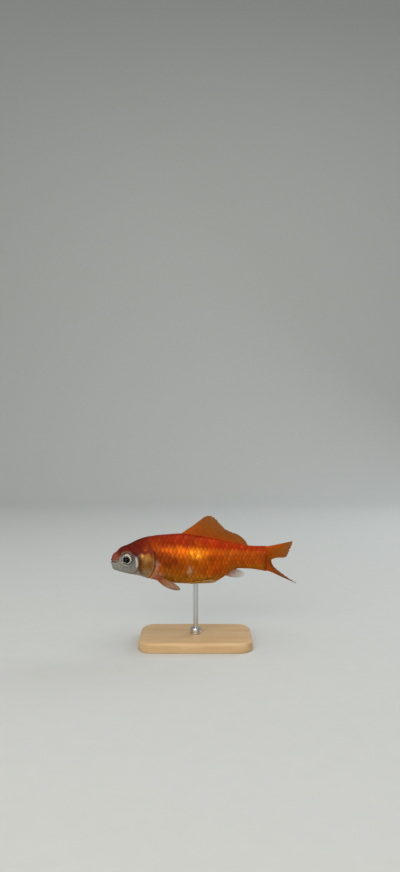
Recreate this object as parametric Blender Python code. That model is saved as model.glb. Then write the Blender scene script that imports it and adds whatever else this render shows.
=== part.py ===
"""A common goldfish, life size, swimming level, held by a plain display stand.

Everything below is in millimetres and becomes metres when a mesh is made. The fish heads towards -X
with +Z up, so its left side faces -Y. "along" is the distance back from the tip of the snout and
"up" is the height over the level of the mouth. The origin is under the rod, at the foot of the stand.
"""

import bmesh
import bpy
import numpy as np

MM = 0.001
GAP = 0.3  # clear space between neighbouring pieces
BEYOND = 6.0  # how far a cutter reaches past what it cuts
HALF_REACH = 14.0  # how far the body's cutters reach above and below the mouth's level
SIDE_REACH = 10.0  # and to each side of the middle

# ---- The fish as a whole
STANDARD_LENGTH = 64.0  # snout to the root of the tail fin
MOUTH_HEIGHT = 36.0  # the mouth's level over the floor
ROD_ALONG = 35.0  # where the rod meets the belly
TAIL_SWING_START = 36.0  # the spine bends sideways from here back
TAIL_SWING = 1.6  # how far it has bent at the root of the tail fin

# ---- The body's side view and plan: distance along, back, belly, half width, level of greatest width
BODY = np.array(
    [
        (0.0, 0.7, -5.3, 1.9, -2.0),
        (1.9, 1.75, -5.9, 2.5, -2.0),
        (3.5, 3.35, -6.4, 3.0, -1.9),
        (6.9, 4.85, -7.2, 3.9, -1.7),
        (11.0, 6.85, -7.9, 4.8, -1.4),
        (16.8, 8.5, -9.6, 5.5, -1.1),
        (23.5, 9.2, -10.9, 5.8, -1.0),
        (30.1, 9.5, -11.4, 5.8, -1.1),
        (36.8, 8.5, -11.3, 5.4, -1.0),
        (43.4, 7.4, -10.6, 4.4, -0.9),
        (46.8, 6.6, -8.5, 3.7, -0.8),
        (50.2, 5.8, -5.9, 3.0, -0.6),
        (56.7, 4.7, -5.2, 2.1, -0.5),
        (64.0, 4.6, -6.1, 1.3, -0.8),
    ]
)
SNOUT_ROUNDING = 1.2  # length over which the snout rounds off to its tip
SNOUT_POWER = 2.4  # over 2 makes the snout blunter than an ellipse
SNOUT_TIP_UP = -2.0
TAIL_ROOT_UP = -0.8
FRONT_RINGS = 0.35  # over 0 crowds the rings towards the snout
BACK_FULLNESS = 1.1  # over 1 narrows the back to a soft ridge
BELLY_FULLNESS = 0.9  # under 1 fills the belly out
BODY_RINGS = 46
BODY_SIDES = 32

# ---- The head's pieces
HEAD_END = 18.2  # the gill cover's rear-most point
HEAD_END_UP = -1.7
HEAD_EDGE_RADIUS_ABOVE = 16.0
HEAD_EDGE_RADIUS_BELOW = 8.0
GILL_COVER_CENTRE = (15.1, -2.9)  # along, up
GILL_COVER_HALF = (3.9, 5.4)
GILL_COVER_INNER = 3.0  # half the distance between the two covers' flat backs
MOUTH_UP = -1.9
MOUTH_CORNER = (2.7, -2.3)
JAW_REAR = (6.2, -12.0)  # where the jaw's rear edge would come out, below the throat
EYE_CENTRE = (6.5, -0.95)
EYE_RADIUS = 2.35
EYE_DEPTH = 1.5  # half the eyeball's thickness, side to side
EYE_ASIDE = 2.95  # the eyeball's centre, from the middle of the head

# ---- Trunk and tail stem
STEM_START = 50.6

# ---- Fins. "share" runs over a fin's rays, from 0 at the front or top ray to 1 at the last one
FIN_HALF_TIP = 0.26  # half the thickness at the rays' tips, and of each fin at its root
DORSAL_HALF_ROOT = 0.42
ANAL_HALF_ROOT = 0.36
TAIL_HALF_ROOT = 0.5
PAIRED_HALF_ROOT = 0.38

DORSAL_ROOT = (28.8, 54.8)  # where the first and the last ray leave the back
DORSAL_EDGE = np.array(  # share, then the ray tip's distance along and its height
    [
        (0.0, 32.0, 11.3),
        (0.05, 35.4, 13.8),
        (0.1, 38.0, 15.8),
        (0.16, 39.8, 16.7),
        (0.24, 41.8, 16.6),
        (0.32, 43.6, 15.2),
        (0.42, 45.6, 13.0),
        (0.52, 47.2, 11.5),
        (0.62, 49.0, 10.4),
        (0.74, 51.4, 9.5),
        (0.86, 53.7, 8.4),
        (0.94, 55.2, 6.9),
        (1.0, 56.1, 5.5),
    ]
)
DORSAL_WAVE = 0.45  # how far the soft edge sways to each side
DORSAL_WAVES = 1.3

ANAL_ROOT = (47.3, 51.6)
ANAL_EDGE = np.array([(0.0, 54.2, -8.6), (0.5, 55.3, -7.7), (1.0, 54.6, -6.1)])
ANAL_SAG = 0.5  # how far the folded front rays bow down

TAIL_TOP_ROOT = 4.3  # height of the first ray's root
TAIL_ROOT_DEPTH = 10.1
TAIL_ROOT_BULGE = 0.5  # the rays' roots stand in an arc
TAIL_PARTING = 0.018  # share of the rays between the middle and each lobe
TAIL_RAYS = np.array(  # share, length, pitch and yaw in degrees
    [
        (0.0, 11.9, 15.5, 32.0),
        (0.12, 11.2, 12.0, 35.0),
        (0.25, 10.0, 4.5, 41.0),
        (0.34, 9.2, 0.0, 50.0),
        (0.42, 6.7, 4.0, 62.0),
        (0.5, 4.2, 4.0, 74.0),
        (0.58, 3.6, 2.0, 75.0),
        (0.68, 4.4, -8.0, 70.0),
        (0.8, 7.4, -16.5, 48.0),
        (0.9, 10.0, -22.0, 25.0),
        (1.0, 13.4, -24.0, 4.0),
    ]
)
TAIL_SETTLE = 0.25  # the share of a ray's length over which it bends to its own heading
TAIL_START = 0.55  # the share of its pitch that a ray has at its root

PECTORAL_ROOT = ((18.9, -8.6), (19.9, -7.3))  # along and up of the first and the last ray's root
PECTORAL_STAND_OFF = 0.65  # from the flank to the middle of the fin
PECTORAL_RAYS = np.array(
    [
        (0.0, 8.8, -14.0, 18.0),
        (0.2, 10.2, -12.5, 23.0),
        (0.45, 11.2, -10.5, 28.0),
        (0.75, 10.6, -8.0, 33.0),
        (1.0, 8.4, -6.0, 38.0),
    ]
)
PECTORAL_RIGHT_PITCH = 0.75  # the right fin is held a little higher
PELVIC_ROOT = ((32.2, -10.9), (33.4, -10.3))
PELVIC_ASIDE = (2.6, 3.5)
PELVIC_RAYS = np.array(
    [
        (0.0, 8.2, 2.0, 8.0),
        (0.2, 10.4, 3.0, 9.0),
        (0.5, 10.8, 5.0, 10.0),
        (0.8, 9.4, 8.0, 12.0),
        (1.0, 7.6, 10.0, 13.0),
    ]
)
PAIRED_SETTLE = 0.9
PECTORAL_START = 3.6  # steeper at the root than at the tip
PELVIC_START = 1.0

# ---- Stand
BASE_SIZE = (46.0, 28.0, 4.0)
BASE_CORNER = 6.0
BASE_BEVEL = 0.6
COLLAR_BEVEL = 0.4
ROD_RADIUS = 1.0
ROD_IN_BASE = 2.5  # how deep the rod sits in the base
ROD_IN_BELLY = 3.0
BAR_SIDES = 24
COLLAR_RADIUS = 2.4
COLLAR_HEIGHT = 2.2


# ============================================================ curves


def through(stations, values, where):
    """A smooth curve through values at stations: cubics with slopes taken from the neighbours."""
    where = np.asarray(where, float)
    slopes = np.gradient(values, stations)
    left = np.clip(np.searchsorted(stations, where, side="right") - 1, 0, len(stations) - 2)
    step = stations[left + 1] - stations[left]
    t = (where - stations[left]) / step
    return (
        values[left] * (1 + 2 * t) * (1 - t) ** 2
        + slopes[left] * step * t * (1 - t) ** 2
        + values[left + 1] * t**2 * (3 - 2 * t)
        + slopes[left + 1] * step * t**2 * (t - 1)
    )


def spine_aside(along):
    """How far the middle of the body lies to the right: it swings left towards the tail, as a parabola."""
    reach = STANDARD_LENGTH - TAIL_SWING_START
    return -TAIL_SWING * np.clip((np.asarray(along) - TAIL_SWING_START) / reach, 0, None) ** 2


def body_edges(along):
    """Back, belly, half width and widest level at a distance along. The snout ends in a blunt curve."""
    along = np.asarray(along, float)
    back, belly, half, level = (through(BODY[:, 0], BODY[:, i], along) for i in (1, 2, 3, 4))
    to_go = 1 - np.clip(along / SNOUT_ROUNDING, 0, 1)
    rounding = (1 - to_go**SNOUT_POWER) ** (1 / SNOUT_POWER)
    back = SNOUT_TIP_UP + (back - SNOUT_TIP_UP) * rounding
    belly = SNOUT_TIP_UP + (belly - SNOUT_TIP_UP) * rounding
    return back, belly, half * rounding, level


def body_point(along, turn):
    """A point of the body's surface. turn is 0 on the back, a quarter to the right and half a turn below."""
    back, belly, half, level = body_edges(along)
    over, side = np.cos(turn), np.sin(turn)
    fullness = np.where(over > 0, BACK_FULLNESS, BELLY_FULLNESS)
    aside = half * np.sign(side) * np.abs(side) ** fullness
    up = level + np.where(over > 0, back - level, level - belly) * over
    return np.stack([along + 0 * aside, spine_aside(along) + aside, up], axis=-1)


def flank_half_width(along, up):
    """Half width of the body at a height, for placing what grows from the flank."""
    back, belly, half, level = body_edges(along)
    over = np.where(up > level, (up - level) / (back - level), (up - level) / (level - belly))
    fullness = np.where(over > 0, BACK_FULLNESS, BELLY_FULLNESS)
    return half * np.sqrt(np.clip(1 - over**2, 0, 1)) ** fullness


# ============================================================ meshes


def to_world(points):
    """Millimetres in the fish's own frame to metres in the world."""
    points = np.asarray(points, float)
    return (points + (-ROD_ALONG, 0.0, MOUTH_HEIGHT)) * MM


def paint(name, colour, roughness, metallic=0.0):
    """A plain Principled material."""
    material = bpy.data.materials.new(name)
    material.use_nodes = True
    shader = material.node_tree.nodes["Principled BSDF"]
    shader.inputs["Base Color"].default_value = (*colour, 1.0)
    shader.inputs["Roughness"].default_value = roughness
    shader.inputs["Metallic"].default_value = metallic
    return material


def add_object(name, points, faces, material=None, helper=False):
    """A closed mesh object from world points in metres. A helper is a cutter and isn't part of the fish."""
    mesh = bpy.data.meshes.new(name)
    mesh.from_pydata([tuple(p) for p in points], [], faces)
    tidy = bmesh.new()
    tidy.from_mesh(mesh)
    bmesh.ops.recalc_face_normals(tidy, faces=tidy.faces)
    tidy.to_mesh(mesh)
    tidy.free()
    mesh.shade_smooth()
    mesh.set_sharp_from_angle(angle=np.radians(40))
    thing = bpy.data.objects.new(name, mesh)
    bpy.context.scene.collection.objects.link(thing)
    if material:
        mesh.materials.append(material)
    if helper:
        thing.hide_render = True
        thing.display_type = "WIRE"
    return thing


def grid_faces(rows, columns, wrap):
    """Quads over a grid of points numbered row by row. wrap joins the last column to the first."""
    number = np.arange(rows * columns).reshape(rows, columns)
    beside = np.roll(number, -1, axis=1)
    corners = np.stack([number[:-1], beside[:-1], beside[1:], number[1:]], axis=-1)
    return [tuple(int(i) for i in face) for row in corners for face in (row if wrap else row[:-1])]


def body_mesh_data():
    """Rings of points from snout to tail root, closed by a point at each end."""
    share = np.linspace(0, 1, BODY_RINGS + 1)[1:]
    along = STANDARD_LENGTH * (FRONT_RINGS * share**2 + (1 - FRONT_RINGS) * share)
    along[:2] = SNOUT_ROUNDING * 0.12, SNOUT_ROUNDING * 0.5
    turn = np.linspace(0, 2 * np.pi, BODY_SIDES, endpoint=False)
    rings = body_point(along[:, None], turn[None, :])
    points = list(rings.reshape(-1, 3))
    faces = grid_faces(BODY_RINGS, BODY_SIDES, wrap=True)
    tips = [(0.0, 0.0, SNOUT_TIP_UP), (STANDARD_LENGTH, spine_aside(STANDARD_LENGTH), TAIL_ROOT_UP)]
    last = (BODY_RINGS - 1) * BODY_SIDES
    for tip, ring in zip(tips, (0, last)):
        points.append(np.array(tip))
        centre = len(points) - 1
        faces += [(ring + c, ring + (c + 1) % BODY_SIDES, centre) for c in range(BODY_SIDES)]
    return to_world(points), faces


def slab(name, outline, flat_axis, low, high, material=None, helper=False):
    """A solid with two flat faces: an outline at one level of an axis, carried to another level."""
    outline = np.asarray(outline, float)
    count = len(outline)
    layers = [np.insert(outline, flat_axis, level, axis=1) for level in (low, high)]
    faces = grid_faces(2, count, wrap=True)
    faces += [tuple(range(count)), tuple(range(2 * count - 1, count - 1, -1))]
    return add_object(name, to_world(np.vstack(layers)), faces, material, helper)


def prism(name, outline, side_from=-SIDE_REACH, side_to=SIDE_REACH):
    """A helper block: an outline of (along, up) points, carried sideways from one distance to the other."""
    return slab(name, outline, 1, side_from, side_to, helper=True)


def ellipsoid(name, centre, radii, material=None, helper=False):
    """A ball stretched along each axis."""
    ball = bmesh.new()
    bmesh.ops.create_uvsphere(ball, u_segments=20, v_segments=12, radius=1.0)
    points = np.array([v.co for v in ball.verts]) * radii + centre
    ball.verts.index_update()
    faces = [tuple(v.index for v in f.verts) for f in ball.faces]
    ball.free()
    return add_object(name, to_world(points), faces, material, helper)


def cut(thing, cutter, operation="DIFFERENCE"):
    """A live Boolean on thing."""
    modifier = thing.modifiers.new(operation.title(), "BOOLEAN")
    modifier.operation = operation
    modifier.object = cutter
    modifier.solver = "EXACT"


# ============================================================ body pieces


def head_edge(up):
    """Distance along of the head's rear edge at a height: an arc, tighter below than above."""
    rise = np.asarray(up, float) - HEAD_END_UP
    radius = np.where(rise > 0, HEAD_EDGE_RADIUS_ABOVE, HEAD_EDGE_RADIUS_BELOW)
    return HEAD_END - rise**2 / (2 * radius)


def head_outline():
    """The region of the head, open to the front, bounded by the arc behind."""
    up = np.linspace(-HALF_REACH, HALF_REACH, 17)
    edge = list(zip(head_edge(up), up))
    return [(-BEYOND, HALF_REACH), (-BEYOND, -HALF_REACH), *edge]


def gill_cover_outline(grow=0.0):
    """The gill cover's region: half an ellipse in front, running on past the head's rear edge."""
    centre, half = GILL_COVER_CENTRE, GILL_COVER_HALF
    turn = np.linspace(np.pi / 2, 3 * np.pi / 2, 13)
    front = [
        (centre[0] + (half[0] + grow) * np.cos(t), centre[1] + (half[1] + grow) * np.sin(t)) for t in turn
    ]
    behind = HEAD_END + BEYOND
    return [*front, (behind, front[-1][1]), (behind, front[0][1])]


def jaw_outline(grow=0.0):
    """The lower jaw's region: below the mouth line, in front of a slanting line down to the throat."""
    return [
        (-BEYOND, MOUTH_UP + grow),
        (MOUTH_CORNER[0] + grow, MOUTH_CORNER[1] + grow),
        (JAW_REAR[0] + grow, JAW_REAR[1]),
        (-BEYOND, JAW_REAR[1]),
    ]


def make_body(materials):
    """Head, jaw, gill covers, trunk and tail stem, all parted from one body by thin cuts."""
    points, faces = body_mesh_data()

    def flesh(name, material):
        return add_object(name, points, faces, materials[material])

    head_region = prism("cut_head", head_outline())
    jaw_region = prism("cut_jaw", jaw_outline())
    jaw_room = prism("cut_jaw_room", jaw_outline(GAP))

    head = flesh("head", "red")
    cut(head, head_region, "INTERSECT")
    cut(head, jaw_room)

    jaw = flesh("lower_jaw", "pale")
    cut(jaw, jaw_region, "INTERSECT")

    for side, sign in (("left", -1), ("right", 1)):
        reach = sorted((sign * GILL_COVER_INNER, sign * SIDE_REACH))
        room_reach = sorted((sign * (GILL_COVER_INNER - GAP), sign * SIDE_REACH))
        region = prism(f"cut_gill_{side}", gill_cover_outline(), *reach)
        room = prism(f"cut_gill_room_{side}", gill_cover_outline(GAP), *room_reach)
        cover = flesh(f"gill_cover_{side}", "gold")
        cut(cover, head_region, "INTERSECT")
        cut(cover, region, "INTERSECT")
        cut(head, room)

        centre = (EYE_CENTRE[0], sign * EYE_ASIDE, EYE_CENTRE[1])
        radii = np.array([EYE_RADIUS, EYE_DEPTH, EYE_RADIUS])
        ellipsoid(f"eye_{side}", centre, radii, materials["silver"])
        cut(head, ellipsoid(f"cut_eye_{side}", centre, radii + GAP, helper=True))

    trunk_front = [(edge + GAP, up) for edge, up in head_outline()[2:]]
    trunk_region = [*trunk_front, (STEM_START, HALF_REACH), (STEM_START, -HALF_REACH)]
    trunk = flesh("trunk", "orange")
    cut(trunk, prism("cut_trunk", trunk_region), "INTERSECT")
    below = rod_top() - ROD_IN_BELLY - BEYOND
    socket = round_bar("cut_rod_socket", ROD_RADIUS + GAP, rod_top() + GAP, below, helper=True)
    cut(trunk, socket)

    front, rear = STEM_START + GAP, STANDARD_LENGTH + BEYOND
    stem_region = [(front, HALF_REACH), (front, -HALF_REACH), (rear, -HALF_REACH), (rear, HALF_REACH)]
    stem = flesh("tail_stem", "orange")
    cut(stem, prism("cut_stem", stem_region), "INTERSECT")


# ============================================================ fins


def thick_sheet(name, middle, half_thickness, material):
    """A closed fin from a grid of middle points, rays by steps, moved both ways along the normal."""
    along_ray = np.gradient(middle, axis=1)
    across = np.gradient(middle, axis=0)
    normal = np.cross(across, along_ray)
    normal /= np.linalg.norm(normal, axis=-1, keepdims=True)
    offset = normal * half_thickness[..., None]
    rays, steps = middle.shape[:2]
    count = rays * steps
    points = np.vstack([(middle + offset).reshape(-1, 3), (middle - offset).reshape(-1, 3)])
    top = grid_faces(rays, steps, wrap=False)
    bottom = [tuple(count + i for i in reversed(face)) for face in top]
    rim = [
        *(r * steps for r in range(rays)),
        *((rays - 1) * steps + s for s in range(1, steps)),
        *(r * steps + steps - 1 for r in range(rays - 2, -1, -1)),
        *range(steps - 2, 0, -1),
    ]
    sides = [(a, b, count + b, count + a) for a, b in zip(rim, rim[1:] + rim[:1])]
    return add_object(name, to_world(points), top + bottom + sides, material)


def taper(rays, steps, root):
    """Half thickness over a fin's grid, thinning evenly from root to tip."""
    return np.broadcast_to(np.linspace(root, FIN_HALF_TIP, steps), (rays, steps))


def read_marks(marks, share):
    """The columns of a table of marks after its first, each read smoothly at the given shares."""
    return [through(marks[:, 0], column, share) for column in marks.T[1:]]


def median_rays(root_ends, root_side, edge, share, steps):
    """Straight rays of a fin in the middle plane, from the back or belly to the fin's edge.

    root_side is 0 for the back and 1 for the belly. The plane follows the spine sideways.
    """
    away = GAP if root_side == 0 else -GAP
    root_along = root_ends[0] + (root_ends[1] - root_ends[0]) * share
    root_up = body_edges(root_along)[root_side] + away
    tip_along, tip_up = read_marks(edge, share)
    root = np.stack([root_along, spine_aside(root_along), root_up], axis=-1)[:, None, :]
    tip = np.stack([tip_along, spine_aside(tip_along), tip_up], axis=-1)[:, None, :]
    return root + (tip - root) * np.linspace(0, 1, steps)[None, :, None]


def make_dorsal_fin(materials):
    """The back fin: a straight stiff front edge, a blunt peak, then a hollow edge falling to the rear."""
    rays, steps = 19, 8
    share = np.linspace(0, 1, rays)
    middle = median_rays(DORSAL_ROOT, 0, DORSAL_EDGE, share, steps)
    out = np.linspace(0, 1, steps)
    middle[..., 1] += DORSAL_WAVE * np.sin(2 * np.pi * DORSAL_WAVES * share)[:, None] * out**2
    return thick_sheet("dorsal_fin", middle, taper(rays, steps, DORSAL_HALF_ROOT), materials["fin"])


def make_anal_fin(materials):
    """The fin behind the vent, folded back along the tail stem."""
    rays, steps = 8, 7
    share = np.linspace(0, 1, rays)
    middle = median_rays(ANAL_ROOT, 1, ANAL_EDGE, share, steps)
    middle[..., 2] -= ANAL_SAG * np.sin(np.linspace(0, np.pi, steps)) * (1 - share)[:, None]
    return thick_sheet("anal_fin", middle, taper(rays, steps, ANAL_HALF_ROOT), materials["pale_fin"])


def swept_rays(root, rays, steps, settle, start):
    """Rays that leave the root straight back and bend to their own pitch and yaw.

    rays holds each ray's length, pitch and yaw. settle is the share of the length over which it bends, and
    start the share of the pitch that it already has at its root. The points are the running sum of short
    steps, so each ray keeps its length.
    """
    length, pitch, yaw = rays
    bend = np.clip(np.linspace(0, 1, steps) / settle, 0, 1)
    bend = bend * bend * (3 - 2 * bend)
    heading = np.radians(yaw)[:, None] * bend
    climb = np.radians(pitch)[:, None] * (start + (1 - start) * bend)
    step = np.stack(
        [np.cos(climb) * np.cos(heading), -np.cos(climb) * np.sin(heading), np.sin(climb)], axis=-1
    )
    travelled = np.cumsum((step[:, 1:] + step[:, :-1]) / 2, axis=1) / (steps - 1)
    travelled = np.concatenate([np.zeros_like(travelled[:, :1]), travelled], axis=1)
    return root[:, None, :] + travelled * length[:, None, None]


def make_tail_fin(materials):
    """The forked tail fin, cupped to the left: the upper lobe spread, the lower one turned edge on."""
    rays, steps = 11, 10
    for name, first, last in (
        ("tail_fin_upper", 0.0, 0.5 - TAIL_PARTING),
        ("tail_fin_lower", 0.5 + TAIL_PARTING, 1.0),
    ):
        share = np.linspace(first, last, rays)
        root_up = TAIL_TOP_ROOT - TAIL_ROOT_DEPTH * share
        root_along = STANDARD_LENGTH + 1.3 * GAP + TAIL_ROOT_BULGE * np.sin(np.pi * share)
        root = np.stack([root_along, spine_aside(root_along), root_up], axis=-1)
        middle = swept_rays(root, read_marks(TAIL_RAYS, share), steps, TAIL_SETTLE, TAIL_START)
        thick_sheet(name, middle, taper(rays, steps, TAIL_HALF_ROOT), materials["fin"])


def make_paired_fin(name, root_line, marks, start, sizes, material, right=False, pitch_factor=1.0):
    """A fin of one side: rays leave a short root line. A right fin is the left one's mirror image."""
    rays, steps = sizes
    share = np.linspace(0, 1, rays)
    length, pitch, yaw = read_marks(marks, share)
    first, last = np.asarray(root_line, float)
    root = first + (last - first) * share[:, None]
    middle = swept_rays(root, (length, pitch * pitch_factor, yaw), steps, PAIRED_SETTLE, start)
    if right:
        middle = middle * (1, -1, 1)
    return thick_sheet(name, middle, taper(rays, steps, PAIRED_HALF_ROOT), material)


def make_paired_fins(materials):
    """Pectoral fins, spread down and out behind the gill covers, and pelvic fins, laid back on the belly."""
    pectoral_root = [
        (along, -(flank_half_width(along, up) + PECTORAL_STAND_OFF), up) for along, up in PECTORAL_ROOT
    ]
    pelvic_root = [
        (along, -max(aside, flank_half_width(along, up) + 2 * GAP), up)
        for (along, up), aside in zip(PELVIC_ROOT, PELVIC_ASIDE)
    ]
    pale = materials["pale_fin"]
    for side, right in (("left", False), ("right", True)):
        held = PECTORAL_RIGHT_PITCH if right else 1.0
        make_paired_fin(
            f"pectoral_fin_{side}", pectoral_root, PECTORAL_RAYS, PECTORAL_START, (13, 10), pale, right, held
        )
        make_paired_fin(f"pelvic_fin_{side}", pelvic_root, PELVIC_RAYS, PELVIC_START, (9, 8), pale, right)


# ============================================================ stand


def rod_top():
    """Height of the rod's top over the mouth's level: a little way into the belly."""
    return float(body_edges(ROD_ALONG)[1]) + ROD_IN_BELLY


def round_bar(name, radius, top, bottom, material=None, helper=False):
    """An upright round bar on the rod's axis. Heights are over the mouth's level."""
    turn = np.linspace(0, 2 * np.pi, BAR_SIDES, endpoint=False)
    ring = np.column_stack([ROD_ALONG + radius * np.cos(turn), radius * np.sin(turn)])
    return slab(name, ring, 2, bottom, top, material, helper)


def bevel(thing, width, segments):
    """A live bevel on the sharp edges."""
    modifier = thing.modifiers.new("Bevel", "BEVEL")
    modifier.width = width * MM
    modifier.segments = segments
    modifier.limit_method = "ANGLE"
    modifier.angle_limit = np.radians(50)


def base_outline():
    """A rectangle with round corners, centred on the rod."""
    length, width, _ = BASE_SIZE
    quarter = np.radians(np.linspace(0, 90, 7))
    points = []
    for corner, (x, y) in enumerate(((1, 1), (-1, 1), (-1, -1), (1, -1))):
        turn = quarter + corner * np.pi / 2
        along = ROD_ALONG + x * (length / 2 - BASE_CORNER) + BASE_CORNER * np.cos(turn)
        aside = y * (width / 2 - BASE_CORNER) + BASE_CORNER * np.sin(turn)
        points += list(zip(along, aside))
    return points


def make_stand(materials):
    """A flat base with round corners, a short steel rod up into the belly and a collar round its foot."""
    floor = -MOUTH_HEIGHT
    base_top = floor + BASE_SIZE[2]
    rod_foot = base_top - ROD_IN_BASE
    base = slab("stand_base", base_outline(), 2, floor, base_top, materials["wood"])
    bevel(base, BASE_BEVEL, 2)
    cut(base, round_bar("cut_rod_hole", ROD_RADIUS + GAP, base_top + BEYOND, rod_foot - GAP, helper=True))
    round_bar("stand_rod", ROD_RADIUS, rod_top(), rod_foot, materials["steel"])
    collar_foot = base_top + GAP
    collar_top = collar_foot + COLLAR_HEIGHT
    collar = round_bar("stand_collar", COLLAR_RADIUS, collar_top, collar_foot, materials["steel"])
    bevel(collar, COLLAR_BEVEL, 2)
    bore = round_bar("cut_collar", ROD_RADIUS + GAP, collar_top + BEYOND, collar_foot - BEYOND, helper=True)
    cut(collar, bore)


# ============================================================ all of it


def main():
    for thing in list(bpy.data.objects):
        bpy.data.objects.remove(thing)
    materials = {
        "red": paint("head skin", (0.33, 0.06, 0.02), 0.4),
        "pale": paint("pale jaw skin", (0.62, 0.55, 0.47), 0.4),
        "gold": paint("gill cover", (0.62, 0.27, 0.04), 0.3, 0.4),
        "silver": paint("eye", (0.7, 0.68, 0.62), 0.15, 0.5),
        "orange": paint("scaled flank", (0.78, 0.19, 0.015), 0.3, 0.4),
        "fin": paint("orange fin", (0.75, 0.25, 0.03), 0.4),
        "pale_fin": paint("pale fin", (0.72, 0.42, 0.22), 0.4),
        "wood": paint("maple", (0.72, 0.55, 0.36), 0.45),
        "steel": paint("steel", (0.6, 0.6, 0.6), 0.3, 1.0),
    }
    make_body(materials)
    make_dorsal_fin(materials)
    make_anal_fin(materials)
    make_tail_fin(materials)
    make_paired_fins(materials)
    make_stand(materials)


main()
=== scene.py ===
"""Dresses a life-size museum model of a common goldfish on its display stand.

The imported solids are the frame. One skin covers head, jaw, gill covers, trunk and tail stem, solid scales
lie over it, and each fin, each eye and the stand get finely made pieces of their own.

Shapes are worked out in millimetres in the fish's own frame and become metres when a mesh is made. In that
frame "along" is the distance back from the tip of the snout, "aside" the distance to the fish's right and
"up" the height over the level of the mouth. "turn" is the angle round the body: 0 on the back, a quarter
turn on the right flank, half a turn on the belly. The fish heads towards -X, so its left side faces -Y.
"""

from __future__ import annotations

import logging
from collections.abc import Callable, Sequence
from dataclasses import dataclass, field
from enum import Enum
from functools import partial

import bpy
import numpy as np
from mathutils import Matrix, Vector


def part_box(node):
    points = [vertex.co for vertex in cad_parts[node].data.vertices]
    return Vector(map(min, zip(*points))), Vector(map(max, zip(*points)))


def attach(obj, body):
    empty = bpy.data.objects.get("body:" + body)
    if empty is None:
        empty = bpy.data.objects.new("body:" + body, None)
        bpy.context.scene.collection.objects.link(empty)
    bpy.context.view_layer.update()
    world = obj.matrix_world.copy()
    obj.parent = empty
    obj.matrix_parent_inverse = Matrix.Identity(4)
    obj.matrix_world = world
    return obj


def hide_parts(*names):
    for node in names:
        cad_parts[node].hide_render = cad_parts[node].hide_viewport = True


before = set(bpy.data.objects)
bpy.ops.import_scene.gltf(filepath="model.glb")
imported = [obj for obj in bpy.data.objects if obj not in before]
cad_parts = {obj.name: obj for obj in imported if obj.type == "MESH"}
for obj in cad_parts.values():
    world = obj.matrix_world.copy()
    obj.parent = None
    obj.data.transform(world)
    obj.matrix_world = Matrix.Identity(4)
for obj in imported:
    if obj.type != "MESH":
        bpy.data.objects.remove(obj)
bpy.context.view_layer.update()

Material = bpy.types.Material
Piece = bpy.types.Object
Socket = bpy.types.NodeSocket
Array = np.ndarray
Pair = tuple[float, float]
Place = tuple[float, float, float]
Rows = tuple[tuple[float, ...], ...]
Table = tuple[Array, Array, Array]
MM = 0.001
log = logging.getLogger("goldfish")


class Side(Enum):
    """A flank of the fish, valued by the sign of its aside direction."""

    LEFT = -1
    RIGHT = 1

    @property
    def word(self) -> str:
        """The side's name as the solids' names spell it."""
        return self.name.lower()


# ============================== numbers and curves


def linear(code: str) -> tuple[float, float, float]:
    """Turns an sRGB hex colour into the linear one that shaders take.

    Args:
        code: Colour such as "#cf4d0a".

    Returns:
        Red, green and blue from 0 to 1, by the sRGB curve: value / 12.92 in the darks, else
        ((value + 0.055) / 1.055) to the power 2.4.
    """
    values = np.array([int(code[i : i + 2], 16) / 255 for i in (1, 3, 5)])
    bent = np.where(values <= 0.04045, values / 12.92, ((values + 0.055) / 1.055) ** 2.4)
    return tuple(float(v) for v in bent)


def ease(value: Array, low: float, high: float) -> Array:
    """Goes smoothly from 0 at low to 1 at high, as 3 t^2 - 2 t^3."""
    t = np.clip((np.asarray(value, float) - low) / (high - low), 0.0, 1.0)
    return t * t * (3.0 - 2.0 * t)


def bell(distance: Array, width: float) -> Array:
    """A bell curve, 1 at no distance: exp(-(distance / width)^2)."""
    return np.exp(-((np.asarray(distance, float) / width) ** 2))


def window(value: Array, rise: Pair, fall: Pair) -> Array:
    """Eases from 0 to 1 over the first span and back to 0 over the second."""
    return ease(value, *rise) * (1 - ease(value, *fall))


def spot(along: Array, up: Array, centre: Pair, reach: Pair) -> Array:
    """A soft oval spot in the side view: a bell curve of the distance, in shares of its reach each way."""
    return bell(np.hypot((along - centre[0]) / reach[0], (up - centre[1]) / reach[1]), 1.0)


def through(where: Array, marks: Array, values: Array) -> Array:
    """A smooth curve through values at marks.

    Args:
        where: Places to read.
        marks: Places along the curve, rising.
        values: The curve's value at each mark.

    Returns:
        Cubics between neighbouring marks, each with the slopes that the neighbours give.
    """
    marks, values, where = (np.asarray(a, float) for a in (marks, values, where))
    slopes = np.gradient(values, marks)
    left = np.clip(np.searchsorted(marks, where, side="right") - 1, 0, len(marks) - 2)
    step = marks[left + 1] - marks[left]
    t = (where - marks[left]) / step
    return (
        values[left] * (1 + 2 * t) * (1 - t) ** 2
        + slopes[left] * step * t * (1 - t) ** 2
        + values[left + 1] * t**2 * (3 - 2 * t)
        + slopes[left + 1] * step * t**2 * (t - 1)
    )


def table_at(rows: Rows, where: Array, rule: Callable[..., Array] = np.interp) -> list[Array]:
    """Reads a table at places along its first column.

    Args:
        rows: Each row is a mark and the values there.
        where: Places to read.
        rule: How values run between marks: straight lines, or through for a smooth curve.

    Returns:
        One array for each column of values.
    """
    marks, *columns = np.array(rows).T
    return [rule(where, marks, column) for column in columns]


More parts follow.
